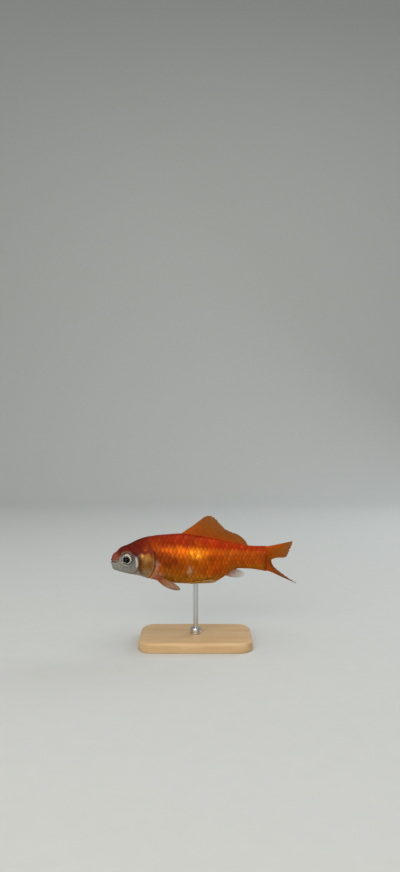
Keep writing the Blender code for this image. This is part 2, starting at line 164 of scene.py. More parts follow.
def away_from(line: Rows, along: Array, up: Array) -> Array:
    """Distance in the side view from a line of points to each place, the least over its segments.

    Args:
        line: The line's points, as (along, up).
        along: Distance back from the snout.
        up: Height over the mouth's level.

    Returns:
        The distances in millimetres.
    """
    corners = np.asarray(line, float)
    best = np.full(np.shape(along), np.inf)
    for start, end in zip(corners[:-1], corners[1:]):
        run = end - start
        t = ((along - start[0]) * run[0] + (up - start[1]) * run[1]) / (run @ run)
        t = np.clip(t, 0.0, 1.0)
        best = np.minimum(best, np.hypot(along - start[0] - t * run[0], up - start[1] - t * run[1]))
    return best


def unit(vectors: Array) -> Array:
    """The same directions with length 1."""
    return vectors / np.maximum(np.linalg.norm(vectors, axis=-1, keepdims=True), 1e-12)


def mix(first: Array, second: Array, share: Array) -> Array:
    """Blends two colours or arrays of colours, point by point."""
    share = np.asarray(share, float)[..., None]
    return first * (1.0 - share) + second * share


def blotches(place: Array, size: float, seed: int, waves: int = 12) -> Array:
    """Uneven soft patches.

    Args:
        place: Points, three numbers each.
        size: Breadth of a patch.
        seed: Start of the random draws.
        waves: How many waves are summed.

    Returns:
        Values from -1 to 1: a sum of plane waves with random headings, lengths and starts.
    """
    dice = np.random.default_rng(seed)
    heading = unit(dice.normal(size=(waves, 3))) * dice.uniform(0.6, 1.5, (waves, 1)) * np.pi / size
    start = dice.uniform(0, 2 * np.pi, waves)
    total = sum(np.sin(place @ way + begin) for way, begin in zip(heading, start))
    return np.clip(total / np.sqrt(waves), -1.0, 1.0)


# ============================== the fish's form


@dataclass(frozen=True)
class FishForm:
    """The outline of the bare fish, which all its pieces are laid on.

    Each row of stations holds the distance along, the back, the belly, the half width and the level of the
    greatest width.
    """

    length: float = 64.0
    snout_rounding: float = 1.2
    snout_power: float = 2.4
    snout_up: float = -2.0
    swing_start: float = 36.0
    swing: float = 1.6
    back_fullness: float = 1.1
    belly_fullness: float = 0.9
    root_taper: float = 1.0
    wedge_draw_in: float = 0.5
    wedge_thinning: float = 0.92
    eye_up: float = -0.95
    stations: Rows = (
        (0.0, 0.7, -5.3, 1.9, -2.0),
        (1.9, 1.75, -5.9, 2.5, -2.0),
        (3.5, 3.35, -6.4, 3.0, -1.9),
        (6.9, 4.85, -7.2, 3.9, -1.7),
        (11.0, 6.85, -7.9, 4.8, -1.4),
        (16.8, 8.5, -9.6, 5.5, -1.1),
        (23.5, 9.2, -10.9, 5.8, -1.0),
        (30.1, 9.5, -11.4, 5.8, -1.1),
        (36.8, 8.5, -11.3, 5.4, -1.0),
        (43.4, 7.4, -10.6, 4.4, -0.9),
        (46.8, 6.6, -8.5, 3.7, -0.8),
        (50.2, 5.8, -5.9, 3.0, -0.6),
        (56.7, 4.7, -5.2, 2.1, -0.5),
        (64.0, 4.6, -6.1, 1.3, -0.8),
    )

    def to_world(self, points: Array) -> Array:
        """Millimetres in the fish's frame to metres in the world, by the solids' snout and eye.

        Args:
            points: Points in the fish's frame.

        Returns:
            The same points in metres, with X along, Y aside and Z up.
        """
        snout_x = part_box("head")[0].x
        low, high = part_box("eye_left")
        mouth_z = (low.z + high.z) / 2 - self.eye_up * MM
        return np.asarray(points, float) * MM + (snout_x, 0.0, mouth_z)

    def spine(self, along: Array) -> Array:
        """How far the middle of the body lies aside: a parabola from where the swing starts."""
        reach = self.length - self.swing_start
        return -self.swing * np.clip((np.asarray(along, float) - self.swing_start) / reach, 0, None) ** 2

    def edges(self, along: Array) -> tuple[Array, Array, Array, Array]:
        """Back, belly, half width and level of greatest width.

        The snout rounds off as a quarter of a superellipse. Past the root of the tail fin the body thins
        to a wedge.

        Args:
            along: Distance back from the snout.

        Returns:
            Heights of back and belly, the half width, and the height at which it is measured.
        """
        along = np.asarray(along, float)
        back, belly, half, level = table_at(self.stations, np.minimum(along, self.length), through)
        to_go = 1 - np.clip(along / self.snout_rounding, 0, 1)
        rounding = (1 - to_go**self.snout_power) ** (1 / self.snout_power)
        back = self.snout_up + (back - self.snout_up) * rounding
        belly = self.snout_up + (belly - self.snout_up) * rounding
        past = np.clip((along - self.length) / self.root_taper, 0, 1)
        draw_in = self.wedge_draw_in * past
        return back - draw_in, belly + draw_in, half * rounding * (1 - self.wedge_thinning * past), level

    def point(self, along: Array, turn: Array) -> Array:
        """A point of the surface: aside is the half width times sin(turn) to the power of the fullness,
        and up runs from the widest level towards back or belly as cos(turn).

        Args:
            along: Distance back from the snout.
            turn: Angle round the body.

        Returns:
            Along, aside and up of each point.
        """
        back, belly, half, level = self.edges(along)
        over, side = np.cos(turn), np.sin(turn)
        fullness = np.where(over > 0, self.back_fullness, self.belly_fullness)
        aside = half * np.sign(side) * np.abs(side) ** fullness
        up = level + np.where(over > 0, back - level, level - belly) * over
        return np.stack([along + 0 * aside, self.spine(along) + aside, up], axis=-1)

    def outward(self, along: Array, turn: Array) -> Array:
        """Unit normals, from the cross product of two short steps over the surface.

        Args:
            along: Distance back from the snout.
            turn: Angle round the body.

        Returns:
            Vectors of length 1 that point out of the body.
        """
        nudge = 0.001
        back = np.maximum(along - nudge, 0.0)
        run = self.point(along + nudge, turn) - self.point(back, turn)
        girth = self.point(along, turn + nudge) - self.point(along, turn - nudge)
        return unit(np.cross(run, girth))

    def turn_at(self, along: Array, up: Array) -> Array:
        """The turn on the right flank at a height, by the inverse of the section's formula.

        Args:
            along: Distance back from the snout.
            up: Height over the mouth's level.

        Returns:
            Turns from 0 to pi: the arc cosine of the height over the widest level, in shares of the way
            to back or belly.
        """
        back, belly, _, level = self.edges(along)
        over = np.where(up > level, (up - level) / (back - level), (up - level) / (level - belly))
        return np.arccos(np.clip(over, -1, 1))

    def half_width(self, along: Array, up: Array) -> Array:
        """Distance from the middle plane to the flank at a height."""
        point = self.point(along, self.turn_at(along, up))
        return np.abs(point[..., 1] - self.spine(along))


@dataclass(frozen=True)
class Stroke:
    """A ridge along a line in the side view, or a groove where its height is negative.

    Its section is a bell curve of the distance from the line, moved back and down.
    """

    line: Rows
    height: float
    width: float
    back: float = 0.0
    down: float = 0.0

    def relief(self, along: Array, up: Array) -> Array:
        """The stroke's height at each place."""
        return self.height * bell(away_from(self.line, along - self.back, up + self.down), self.width)


UPPER_JAW: Rows = ((0.5, 0.55), (1.5, 0.4), (2.5, -0.4), (3.1, -1.6), (3.2, -2.8), (2.7, -3.6))
JAW_FOLD: Rows = ((2.7, -2.4), (3.5, -4.1), (4.3, -6.2))
CHEEK_RIDGE: Rows = (
    (9.7, 1.5), (10.5, 0.5), (10.95, -1.1), (11.05, -2.9),
    (10.75, -4.6), (9.8, -5.9), (8.1, -6.6), (6.0, -6.7),
)
THROAT_FOLD: Rows = ((14.8, -8.3), (12.0, -7.9), (8.5, -7.1), (5.5, -6.4))


@dataclass(frozen=True)
class HeadPlan:
    """Where the head's features lie in the side view, as (along, up)."""

    edge: float = 18.2
    edge_up: float = -1.7
    radius_above: float = 16.0
    radius_below: float = 8.0
    eye: Pair = (6.75, -0.85)
    eye_opening: float = 2.3
    eye_sunk: float = 1.9
    gill_cover: Pair = (15.1, -2.9)
    gill_cover_half: Pair = (3.9, 5.4)
    gill_fan: Pair = (12.2, 2.2)
    gill_fan_ribs: int = 44
    shoulder_knob: Pair = (19.7, -8.0)
    mouth_corner: float = 2.7
    slit_depth: float = 0.62
    nostrils: tuple[Pair, ...] = ((3.35, 0.75), (4.0, 1.05))
    mouth_strokes: tuple[Stroke, ...] = (
        Stroke(UPPER_JAW, -0.2, 0.17),
        Stroke(UPPER_JAW, 0.1, 0.3, back=-0.45, down=0.1),
        Stroke(JAW_FOLD, -0.16, 0.2),
    )
    cheek_strokes: tuple[Stroke, ...] = (
        Stroke(CHEEK_RIDGE, 0.2, 0.4),
        Stroke(CHEEK_RIDGE, -0.2, 0.24, back=0.62, down=0.12),
        Stroke(THROAT_FOLD, -0.14, 0.24),
    )
    colour_line: Rows = (
        (0.0, -1.9), (2.6, -1.7), (3.6, -0.4), (4.6, 1.1), (6.2, 1.75),
        (8.4, 1.6), (9.8, 0.9), (11.2, 0.3), (13.0, 1.5), (18.5, 1.7),
    )

    def set_forward(self, up: Array) -> Array:
        """How far forward the head's rear edge lies at a height, as an arc with a tighter radius below."""
        rise = up - self.edge_up
        return rise**2 / (2 * np.where(rise > 0, self.radius_above, self.radius_below))

    def behind(self, along: Array, up: Array) -> Array:
        """Distance behind the head's rear edge."""
        return along - self.edge + self.set_forward(up)

    def gill_opening(self, up: Array) -> Array:
        """1 at the heights where the gill cover's rear edge stands free, 0 above and below."""
        return window(up, (-9.3, -8.2), (1.6, 3.2))

    def from_eye(self, along: Array, up: Array) -> Array:
        """Distance from the eye's centre in the side view."""
        return np.hypot(along - self.eye[0], up - self.eye[1])

    def in_gill_cover(self, along: Array, up: Array) -> Array:
        """0 in the middle of the gill cover and 1 at its front rim, as the radius of an ellipse."""
        centre, half = self.gill_cover, self.gill_cover_half
        return np.hypot((along - centre[0]) / half[0], (up - centre[1]) / half[1])

    def mouth_up(self, along: Array) -> Array:
        """Height of the mouth's slit, which sinks towards its corner."""
        return -1.95 - 0.4 * np.clip(along / self.mouth_corner, 0, 1.2) ** 2

    def relief(self, along: Array, up: Array, flank: Array) -> Array:
        """Height of the head's features over the plain form.

        Args:
            along: Distance back from the snout.
            up: Height over the mouth's level.
            flank: 0 on the middle line of back and belly, 1 at the widest.

        Returns:
            Millimetres outwards: the sum of the reliefs of eye, mouth, cheek and gill cover, which ends
            behind the shoulder, and the crease at the root of the tail fin.
        """
        sideways = ease(flank, 0.15, 0.45)
        total = self.eye_relief(along, up) + self.mouth_relief(along, up)
        for place in self.nostrils:
            pit = np.hypot(along - place[0], up - place[1])
            total += sideways * (0.13 * bell(pit - 0.4, 0.13) - 0.4 * bell(pit, 0.22))
        total += sideways * sum(stroke.relief(along, up) for stroke in self.cheek_strokes)
        total += sideways * self.gill_relief(along, up)
        crease = 0.3 * bell(along - 63.8, 0.4) * (1 - ease(up, 0.0, 2.2)) * sideways
        return total * (1 - ease(along, 22.0, 24.0)) - crease

    def eye_relief(self, along: Array, up: Array) -> Array:
        """A socket for the eye with a raised rim round it: folds above, a groove below.

        Args:
            along: Distance back from the snout.
            up: Height over the mouth's level.

        Returns:
            Millimetres outwards.
        """
        ring = self.from_eye(along, up)
        high = ease(up - self.eye[1], 0.2, 1.6)
        rim = -0.26 * bell(ring - 2.45, 0.55) + (0.15 + 0.09 * high) * bell(ring - 2.72, 0.26)
        folds = 0.16 * bell(ring - 3.05, 0.35) * high - 0.09 * bell(ring - 3.55, 0.25) * (1 - high)
        socket = 1 - ease(ring, self.eye_opening - 0.28, self.eye_opening + 0.06)
        return rim + folds - self.eye_sunk * socket

    def mouth_relief(self, along: Array, up: Array) -> Array:
        """Two lips with a slit between them, and the jaws' folds.

        Args:
            along: Distance back from the snout.
            up: Height over the mouth's level.

        Returns:
            Millimetres outwards.
        """
        over = up - self.mouth_up(along)
        lips = 1 - ease(along, self.mouth_corner - 0.3, self.mouth_corner + 0.35)
        mouth = 0.24 * bell(over - 0.5, 0.36) + 0.2 * bell(over + 0.55, 0.36)
        mouth -= self.slit_depth * bell(over, 0.17)
        return lips * mouth + sum(stroke.relief(along, up) for stroke in self.mouth_strokes)

    def gill_relief(self, along: Array, up: Array) -> Array:
        """The gill cover's dome with its fan of ribs, the grooves round its plates, its free edge with the
        slit behind it, and the shoulder's knob below.

        Args:
            along: Distance back from the snout.
            up: Height over the mouth's level.

        Returns:
            Millimetres outwards.
        """
        inside, behind = self.in_gill_cover(along, up), self.behind(along, up)
        dome = (1 - inside**2).clip(0, 1)
        fan = np.arctan2(up - self.gill_fan[1], along - self.gill_fan[0])
        front = 1 - ease(along, self.gill_cover[0], self.gill_cover[0] + 2.5)
        low_rim = ease(-(up + 3.5), 0.0, 2.0) * ease(along, 12.5, 14.5)
        cover = (0.1 + 0.022 * np.sin(self.gill_fan_ribs * fan)) * dome
        cover -= 0.16 * bell((inside - 1) * 4.4, 0.24) * front
        cover -= 0.12 * bell((inside - 0.74) * 4.4, 0.2) * low_rim

        rising = 0.26 * np.exp(np.minimum(behind, 0.0) / 1.5)
        falling = ease(behind, 0.0, 0.14)
        slit = -self.slit_depth * np.exp(-((np.maximum(behind - 0.14, 0.0) / 0.55) ** 1.5))
        edge = rising * (1 - falling) + slit * falling - 0.12 * bell(behind + 0.62, 0.14)
        edge += 0.14 * bell(behind - 1.2, 0.4)
        knob = 0.3 * spot(along, up, self.shoulder_knob, (1.2, 1.2))
        return cover * (1 - ease(behind, 0.0, 0.2)) + edge * self.gill_opening(up) + knob


FORM = FishForm()
HEAD = HeadPlan()


# ============================== markings


@dataclass(frozen=True)
class Palette:
    """The fish's colours: its skin's and scales' pigments, and painted highlights and painted shade."""

    back: str = "#982c0a"
    rear_back: str = "#a83208"
    # the upper flank's gold, partly the scales' own colour and partly a painted highlight
    band: str = "#c86008"
    flank: str = "#a8520c"
    front_flank: str = "#80340e"
    olive: str = "#8e561a"
    rear_flank: str = "#a8460a"
    belly: str = "#a06a1c"
    stem: str = "#a2480c"
    stem_low: str = "#98560e"
    bare: str = "#d8a888"
    # painted highlight: a bright gold glint on the upper flank
    painted_highlight: str = "#ffb02c"
    # painted shade in the crease at the root of the tail fin
    crease: str = "#682a08"
    fin_root: str = "#a64a0a"
    nape: str = "#6c1a02"
    crown: str = "#5c1c12"
    ridge: str = "#3e120c"
    snout: str = "#88463a"
    cheek: str = "#7d7b76"
    jaw: str = "#918f86"
    throat: str = "#968a76"
    gill_cover: str = "#8a5c2a"
    gill_low: str = "#8c7452"
    # dark brown for mottling on the gill cover, and painted shade in the groove in front of it
    gill_front: str = "#54280e"
    gill_rim: str = "#c89a58"
    # painted highlight on the upper gill cover
    gill_light: str = "#d89450"
    # painted shade in the hollow behind the eye and the groove in front of the gill cover
    painted_shade: str = "#34181a"
    # painted highlight along the cheek ridge
    cheek_ridge_highlight: str = "#d4cec4"
    # painted shade in the gill slit
    slit: str = "#3a1a0c"
    shoulder: str = "#b49480"
    fleck: str = "#b45c34"
    brow: str = "#6b4222"

    def __getitem__(self, name: str) -> Array:
        """One of the colours, linear, as an array of three."""
        return np.array(linear(getattr(self, name)))

    def over(self, ground: str | Array, *coats: tuple[str | Array, Array]) -> Array:
        """Paints coats over a ground, one after the other, each as strong as its share.

        Args:
            ground: The lowest colour, by name or as linear colours.
            coats: A colour, given in the same way, and its share at each place.

        Returns:
            Linear colours.
        """
        paint = self[ground] if isinstance(ground, str) else ground
        for colour, share in coats:
            paint = mix(paint, self[colour] if isinstance(colour, str) else colour, share)
        return paint


@dataclass(frozen=True)
class Markings:
    """Colour and metal sheen at any place of the body, the same for skin and scales."""

    colours: Palette = field(default_factory=Palette)
    gold_band_and_highlight_marks: Rows = (
        (17.5, 4.2, 1.2, 0.0),
        (21.5, 3.7, 1.6, 0.6),
        (28.0, 2.9, 2.2, 0.95),
        (34.0, 2.2, 2.8, 1.0),
        (38.5, 2.1, 2.4, 0.6),
        (42.0, 2.4, 1.7, 0.3),
        (50.0, 2.4, 1.2, 0.35),
        (60.0, 2.2, 1.0, 0.0),
    )

    def colour(self, along: Array, turn: Array) -> Array:
        """Blends the fish's colours by soft masks.

        Args:
            along: Distance back from the snout.
            turn: Angle round the body.

        Returns:
            Linear colours: the body's blended by the height round it and the distance along it, with
            uneven patches that break up every edge, and the head's in front of the gill opening.
        """
        c = self.colours
        over, flank = np.cos(turn), np.abs(np.sin(turn))
        place = FORM.point(along, turn)
        up = place[..., 2]
        wide, fine = blotches(place, 3.2, 11), blotches(place, 1.3, 12)
        uneven = over + 0.05 * wide + 0.04 * fine
        low = ease(-uneven, 0.1, 0.5)
        # painted highlight: a gold glint on the upper flank, broken up patch by patch
        spark = ease(blotches(place, 0.95, 13) + 0.3 * wide, -0.35, 0.55)
        painted_highlight = bell(np.hypot((along - 35.6) / 1.7, (up - 1.5) / 1.1), 1.6) * (0.25 + 0.75 * spark)
        bare = bell(np.hypot((along - 32.7) * 1.3 + 0.5 * fine, (up + 5.0) / 1.5), 1.0)
        pale = bell(HEAD.behind(along, up) - 1.3 + 0.3 * fine, 0.75) * ease(-up, 0.0, 2.6)
        pale = np.maximum(pale, spot(along, up, (19.2, -7.2), (1.9, 1.5)))
        return c.over(
            "flank",
            ("front_flank", (1 - ease(along + wide, 26.0, 33.0)) * (1 - low) * 0.85),
            ("olive", low * (1 - ease(along, 36.0, 43.0)) * ease(wide + fine, -0.6, 0.5)),
            ("rear_flank", 0.8 * bell(along - 43.5, 4.5) * (1 - ease(-over, 0.5, 0.8))),
            ("stem", ease(along, 46.0, 52.0)),
            ("stem_low", ease(along, 46.0, 50.0) * ease(-uneven, 0.25, 0.8)),
            ("belly", 0.85 * ease(-uneven, 0.5, 0.85) * window(along, (19.0, 23.0), (43.0, 48.0))),
            # the gold band: partly the scales' own gold, partly a painted highlight
            ("band", self.band(along, up + 0.25 * fine) * (0.8 + 0.2 * wide)),
            (
                mix(c["back"], c["rear_back"], ease(along, 32.0, 42.0)),
                ease(uneven, 0.46, 0.7) * (1 - 0.2 * ease(along, 50.0, 60.0)),
            ),
            ("nape", 0.6 * (1 - ease(along + 1.5 * fine, 17.0, 25.0)) * ease(uneven, -0.1, 0.3)),
            # painted highlight: gold glints on scales of the upper back, in the band's colour
            ("band", 0.5 * spot(along, up, (36.0, 5.8), (4.0, 1.5)) * ease(fine + 0.5 * wide, -0.5, 0.6)),
            ("stem", 0.6 * spot(along, up, (18.9, 4.8), (2.2, 2.4))),
            ("painted_highlight", np.clip(0.95 * painted_highlight, 0, 1)),
            ("bare", 0.75 * bare * ease(-up, 1.5, 3.0)),
            ("fin_root", ease(along, 63.7, 64.5)),
            # painted shade in the crease at the root of the tail fin
            ("crease", 0.9 * bell(along - 63.9, 0.55) * (1 - ease(up, 0.0, 2.2))),
            (self.head_colour(along, up, flank, wide, fine), self.naked(along, up)),
            ("shoulder", np.clip(pale * (0.7 + 0.2 * wide), 0, 1)),
        )

    def band(self, along: Array, up: Array) -> Array:
        """Strength of the gold band on the upper flank, partly the scales' own gold and partly a painted
        highlight:
        a stroke with a bell-shaped section that sinks and swells up to the middle of the body, then thins and
        fades towards the tail."""
        level, half, strength = table_at(self.gold_band_and_highlight_marks, along)
        return strength * np.exp(-(np.abs((up - level) / half) ** 2.6))

    def naked(self, along: Array, up: Array) -> Array:
        """1 on the scaleless head and 0 on the body."""
        return 1 - ease(HEAD.behind(along, up), -0.7, 0.8)

    def head_colour(self, along: Array, up: Array, flank: Array, wide: Array, fine: Array) -> Array:
        """The head's colours, and those of the shoulder just behind it.

        Args:
            along: Distance back from the snout.
            up: Height over the mouth's level.
            flank: 0 on the middle line of back and belly, 1 at the widest.
            wide: Broad uneven patches from -1 to 1.
            fine: Small uneven patches from -1 to 1.

        Returns:
            Linear colours: dark top and silvery cheek, the gill cover between its rims, a painted highlight
                along the
            cheek ridge and on the gill cover, painted shade in the grooves and the gill slit round them, and
            small bright flecks.
        """
        c = self.colours
        over_line = up - table_at(HEAD.colour_line, along)[0] + 0.35 * fine
        top = ease(over_line / (1.9 - 0.9 * ease(along, 3.0, 7.0)), -0.6, 0.75)
        low = c.over(
            "cheek",
            ("jaw", ease(-along, -6.0, -3.2) * ease(-up, 1.2, 2.4)),
            ("jaw", 0.7 * ease(-up, 3.6, 5.6)),
            ("throat", ease(-up, 4.8, 7.0) * ease(along, 6.0, 10.0) * 0.8),
        )
        dark = c.over(
            "crown",
            ("nape", np.clip(ease(along, 8.0, 15.0) + 0.3 * wide + 0.2 * fine, 0, 1)),
            ("ridge", 0.7 * (1 - ease(flank, 0.12, 0.5))),
            ("ridge", 0.5 * ease(fine + 0.6 * wide, 0.0, 1.2)),
            ("snout", (1 - ease(along, 2.2, 5.0)) * (1 - ease(up, 0.4, 2.6))),
            ("back", 0.6 * ease(along + 0.8 * fine + 0.5 * wide, 12.5, 18.5) * ease(up, 2.0, 4.5)),
            ("stem", 0.6 * spot(along, up, (16.4, 2.6), (2.6, 2.0)) * ease(fine + 0.4 * wide, -0.5, 0.5)),
        )
        bone = c.over(
            "gill_cover",
            ("gill_front", 0.4 * ease(0.7 * fine + 0.5 * wide, -0.1, 0.9)),
            ("gill_low", ease(-up, 3.4, 6.2)),
            ("gill_rim", 0.85 * self.gill_rim(along, up)),
            ("gill_rim", 0.36 * spot(along, up, (15.0, -0.5), (1.1, 1.32))),
            ("gill_front", 0.8 * (1 - ease(along + 0.3 * fine, 11.8, 14.4)) * ease(-up, -0.3, 1.4)),
            ("nape", 0.85 * ease(up + 0.6 * fine, 0.5, 2.2)),
        )
        inside, behind = HEAD.in_gill_cover(along, up), HEAD.behind(along, up)
        cover = np.maximum(
            1 - ease(inside + 0.05 * fine, 0.86, 1.08), ease(along, 14.8, 16.2) * ease(up, -8.4, -7.4)
        )
        cover = cover * (1 - ease(behind, -0.2, 0.2)) * ease(flank, 0.2, 0.5)
        fleck = np.hypot((along - 14.4) / 1.5, up - 3.3 + 0.3 * wide)
        # painted highlight along the cheek ridge
        cheek_ridge_highlight = bell(away_from(CHEEK_RIDGE[1:5], along, up), 0.38) * window(up, (-4.6, -3.0), (-0.8, 0.6))
        brow = bell(HEAD.from_eye(along, up) - 2.75, 0.45) * ease(up - HEAD.eye[1], 0.8, 2.0)
        return c.over(
            low,
            (dark, top),
            ("brow", 0.7 * brow),
            # painted shade in the hollow between the eye and the cheek ridge
            ("painted_shade", 0.6 * bell(along - 9.5, 0.8) * window(up, (-3.2, -0.6), (1.0, 2.6))),
            (bone, cover),
            # painted highlight on the upper gill cover
            ("gill_light", 0.8 * bell(np.hypot(along - 13.15, up - 0.85) + 0.15 * fine, 0.6)),
            ("fleck", 0.5 * bell(fleck + 0.3 * fine, 0.45)),
            # painted shade in the groove in front of the gill cover
            ("painted_shade", 0.75 * spot(along, up, (12.15, -0.3), (0.65, 1.9))),
            # painted shade in the groove behind the cheek ridge
            ("gill_front", 0.5 * bell(away_from(CHEEK_RIDGE, along - 0.9, up), 0.35)),
            ("cheek_ridge_highlight", 0.9 * cheek_ridge_highlight),
            # painted shade in the gill slit
            ("slit", 0.5 * HEAD.gill_opening(up) * bell(behind - 0.25, 0.26)),
        )

    def gill_rim(self, along: Array, up: Array) -> Array:
        """Share of the light rim along the gill cover's rear edge, from its middle down."""
        rim = ease(HEAD.in_gill_cover(along, up), 0.6, 0.92)
        return rim * ease(along, 14.8, 16.8) * ease(-up, -0.8, 2.0)

    def sheen(self, along: Array, turn: Array) -> Array:
        """How much the surface glints like metal: most on the upper flank and the gill cover, least on
        the back, the crown and the belly.

        Args:
            along: Distance back from the snout.
            turn: Angle round the body.

        Returns:
            Shares of metal from 0 to 1.
        """
        over = np.cos(turn)
        up = FORM.point(along, turn)[..., 2]
        body = 0.2 + 0.3 * window(over, (-0.35, 0.15), (0.42, 0.6)) * ease(along, 17.0, 24.0)
        body = body * (1 - 0.6 * ease(along, 38.0, 48.0)) * (1 - ease(along, 62.5, 64.0))
        cover = (1 - ease(HEAD.in_gill_cover(along, up), 0.8, 1.05)) * (1 - ease(up, 0.8, 2.0))
        cheek = 0.35 * ease(-up, -0.6, 0.6)
        bare = 0.04 + np.maximum(0.38 * cover, cheek)
        return body + (bare - body) * self.naked(along, up)


# ============================== nodes and finishes


def feed(tree: bpy.types.NodeTree, node: bpy.types.Node, inputs: dict) -> None:
    """Gives each input, by name or number, its value, its hex colour or the socket that feeds it.

    Args:
        tree: The material's node tree.
        node: The node that takes the inputs.
        inputs: What each input takes.
    """
    for key, value in inputs.items():
        if isinstance(value, Socket):
            tree.links.new(value, node.inputs[key])
        else:
            node.inputs[key].default_value = (*linear(value), 1.0) if isinstance(value, str) else value


def add_node(
    tree: bpy.types.NodeTree, kind: str, inputs: dict | None = None, output: int | str = 0, **settings: object
) -> Socket:
    """Adds a node with its settings and links.

    Args:
        tree: The material's node tree.
        kind: The node's type name, without the ShaderNode before it.
        inputs: For each input, by name or number, a value or the socket that feeds it.
        output: The output to read, by name or number.
        settings: The node's own properties.

    Returns:
        The output's socket.
    """
    node = tree.nodes.new("ShaderNode" + kind)
    for name, value in settings.items():
        setattr(node, name, value)
    feed(tree, node, inputs or {})
    return node.outputs[output]


Adder = Callable[..., Socket]


@dataclass(frozen=True)
class Finish:
    """A material with one Principled shader. A subclass says what drives it."""

    name: str
    roughness: float = 0.4
    ior: float = 1.45
    tint: str = "#ffffff"

    def material(self) -> Material:
        """Makes the material: even values first, then the sockets that vary over the surface.

        Returns:
            The new material, under this finish's name.
        """
        made = bpy.data.materials.new(self.name)
        made.use_nodes = True
        tree = made.node_tree
        even = {"Roughness": self.roughness, "IOR": self.ior, "Specular Tint": self.tint}
        feed(tree, tree.nodes["Principled BSDF"], even | self.drive(partial(add_node, tree)))
        return made

    def drive(self, add: Adder) -> dict:
        """The shader's inputs, by name, of which add makes the sockets.

        Args:
            add: Adds a node to the material and gives one of its sockets.

        Returns:
            Values and sockets for the inputs that this finish sets itself.
        """
        raise NotImplementedError


@dataclass(frozen=True)
class WetSkin(Finish):
    """Scaleless fish skin: thin mucus over pigment cells, so it shines softly and mottles finely."""

    mottle_mm: float = 0.9
    speck_mm: float = 0.22

    def drive(self, add: Adder) -> dict:
        """Markings, broken up by blotches and pigment specks, over a thin mirror layer.

        Args:
            add: Adds a node and gives one of its sockets.

        Returns:
            The shader's inputs that it sets, by name.
        """
        place = add("TexCoord", output="Object")
        blotch = add("TexNoise", {"Vector": place, "Scale": 1 / (self.mottle_mm * MM), "Detail": 3.0})
        speck = add("TexNoise", {"Vector": place, "Scale": 1 / (self.speck_mm * MM), "Detail": 1.0})
        broad = add("MapRange", {"Value": blotch, "To Min": 0.5, "To Max": 1.3})
        shade = add("Math", {0: speck, 1: 0.25, 2: broad}, operation="MULTIPLY_ADD")
        paint = add("Attribute", output="Color", attribute_name="markings")
        height = add("Math", {0: speck, 1: blotch}, operation="ADD")
        return {
            "Base Color": add("VectorMath", {0: paint, "Scale": shade}, operation="SCALE"),
            "Metallic": add("Attribute", output="Fac", attribute_name="sheen"),
            "Roughness": add("MapRange", {"Value": blotch, "To Min": 0.28, "To Max": 0.52}),
            "Normal": add("Bump", {"Height": height, "Distance": 0.035 * MM}),
        }


@dataclass(frozen=True)
class Scale(Finish):
    """A bony fish scale under clear skin, with a mirror layer of guanine that glints gold."""

    rings: float = 9.0
    furrows: float = 26.0
    rim_colour: str = "#a87458"

    def drive(self, add: Adder) -> dict:
        """Markings toned scale by scale, deeper at the rim, with growth rings and furrows as bump.

        Args:
            add: Adds a node and gives one of its sockets.

        Returns:
            The shader's inputs that it sets, by name.
        """
        tone = add("Attribute", output="Fac", attribute_name="tone")
        on_scale = add("UVMap", uv_map="OnScale")
        out = add("SeparateXYZ", {0: on_scale}, "Y")
        rim = {"Value": out, "From Min": 0.7, "From Max": 1.0}
        rim = add("MapRange", rim, interpolation_type="SMOOTHSTEP")
        place = add("TexCoord", output="Object")
        fleck = add("TexNoise", {"Vector": place, "Scale": 1 / (0.35 * MM), "Detail": 2.0})
        per_scale = add("MapRange", {"Value": tone, "To Min": 0.82, "To Max": 1.24})
        uneven = add("MapRange", {"Value": fleck, "To Min": 0.75, "To Max": 1.25})
        shade = add("Math", {0: per_scale, 1: uneven}, operation="MULTIPLY")
        paint = add("Attribute", output="Color", attribute_name="markings")
        toned = add("VectorMath", {0: paint, "Scale": shade}, operation="SCALE")
        share = add("Math", {0: rim, 1: 0.45}, operation="MULTIPLY")
        deep = {0: share, 6: toned, 7: self.rim_colour}
        from_root = add("VectorMath", {0: on_scale, 1: (0.5, 0.0, 0.0)}, operation="SUBTRACT")
        ring = {"Vector": from_root, "Scale": self.rings / 3.18, "Distortion": 1.6}
        ring |= {"Detail": 2.0, "Detail Scale": 2.5}
        ring = add("TexWave", ring, "Fac", wave_type="RINGS", rings_direction="Z")
        angle = add("TexGradient", {"Vector": from_root}, "Fac", gradient_type="RADIAL")
        turns = add("Math", {0: angle, 1: 2 * np.pi * self.furrows}, operation="MULTIPLY")
        furrow = add("Math", {0: turns}, operation="SINE")
        height = add("Math", {0: furrow, 1: 0.3, 2: ring}, operation="MULTIPLY_ADD")
        sheen = add("Attribute", output="Fac", attribute_name="sheen")
        kept = add("MapRange", {"Value": rim, "To Min": 1.0, "To Max": 0.45})
        return {
            "Base Color": add("Mix", deep, 2, data_type="RGBA", blend_type="MULTIPLY"),
            "Metallic": add("Math", {0: sheen, 1: kept}, operation="MULTIPLY"),
            "Roughness": add("MapRange", {"Value": fleck, "To Min": 0.24, "To Max": 0.46}),
            "Normal": add("Bump", {"Height": height, "Distance": 0.005 * MM}),
        }


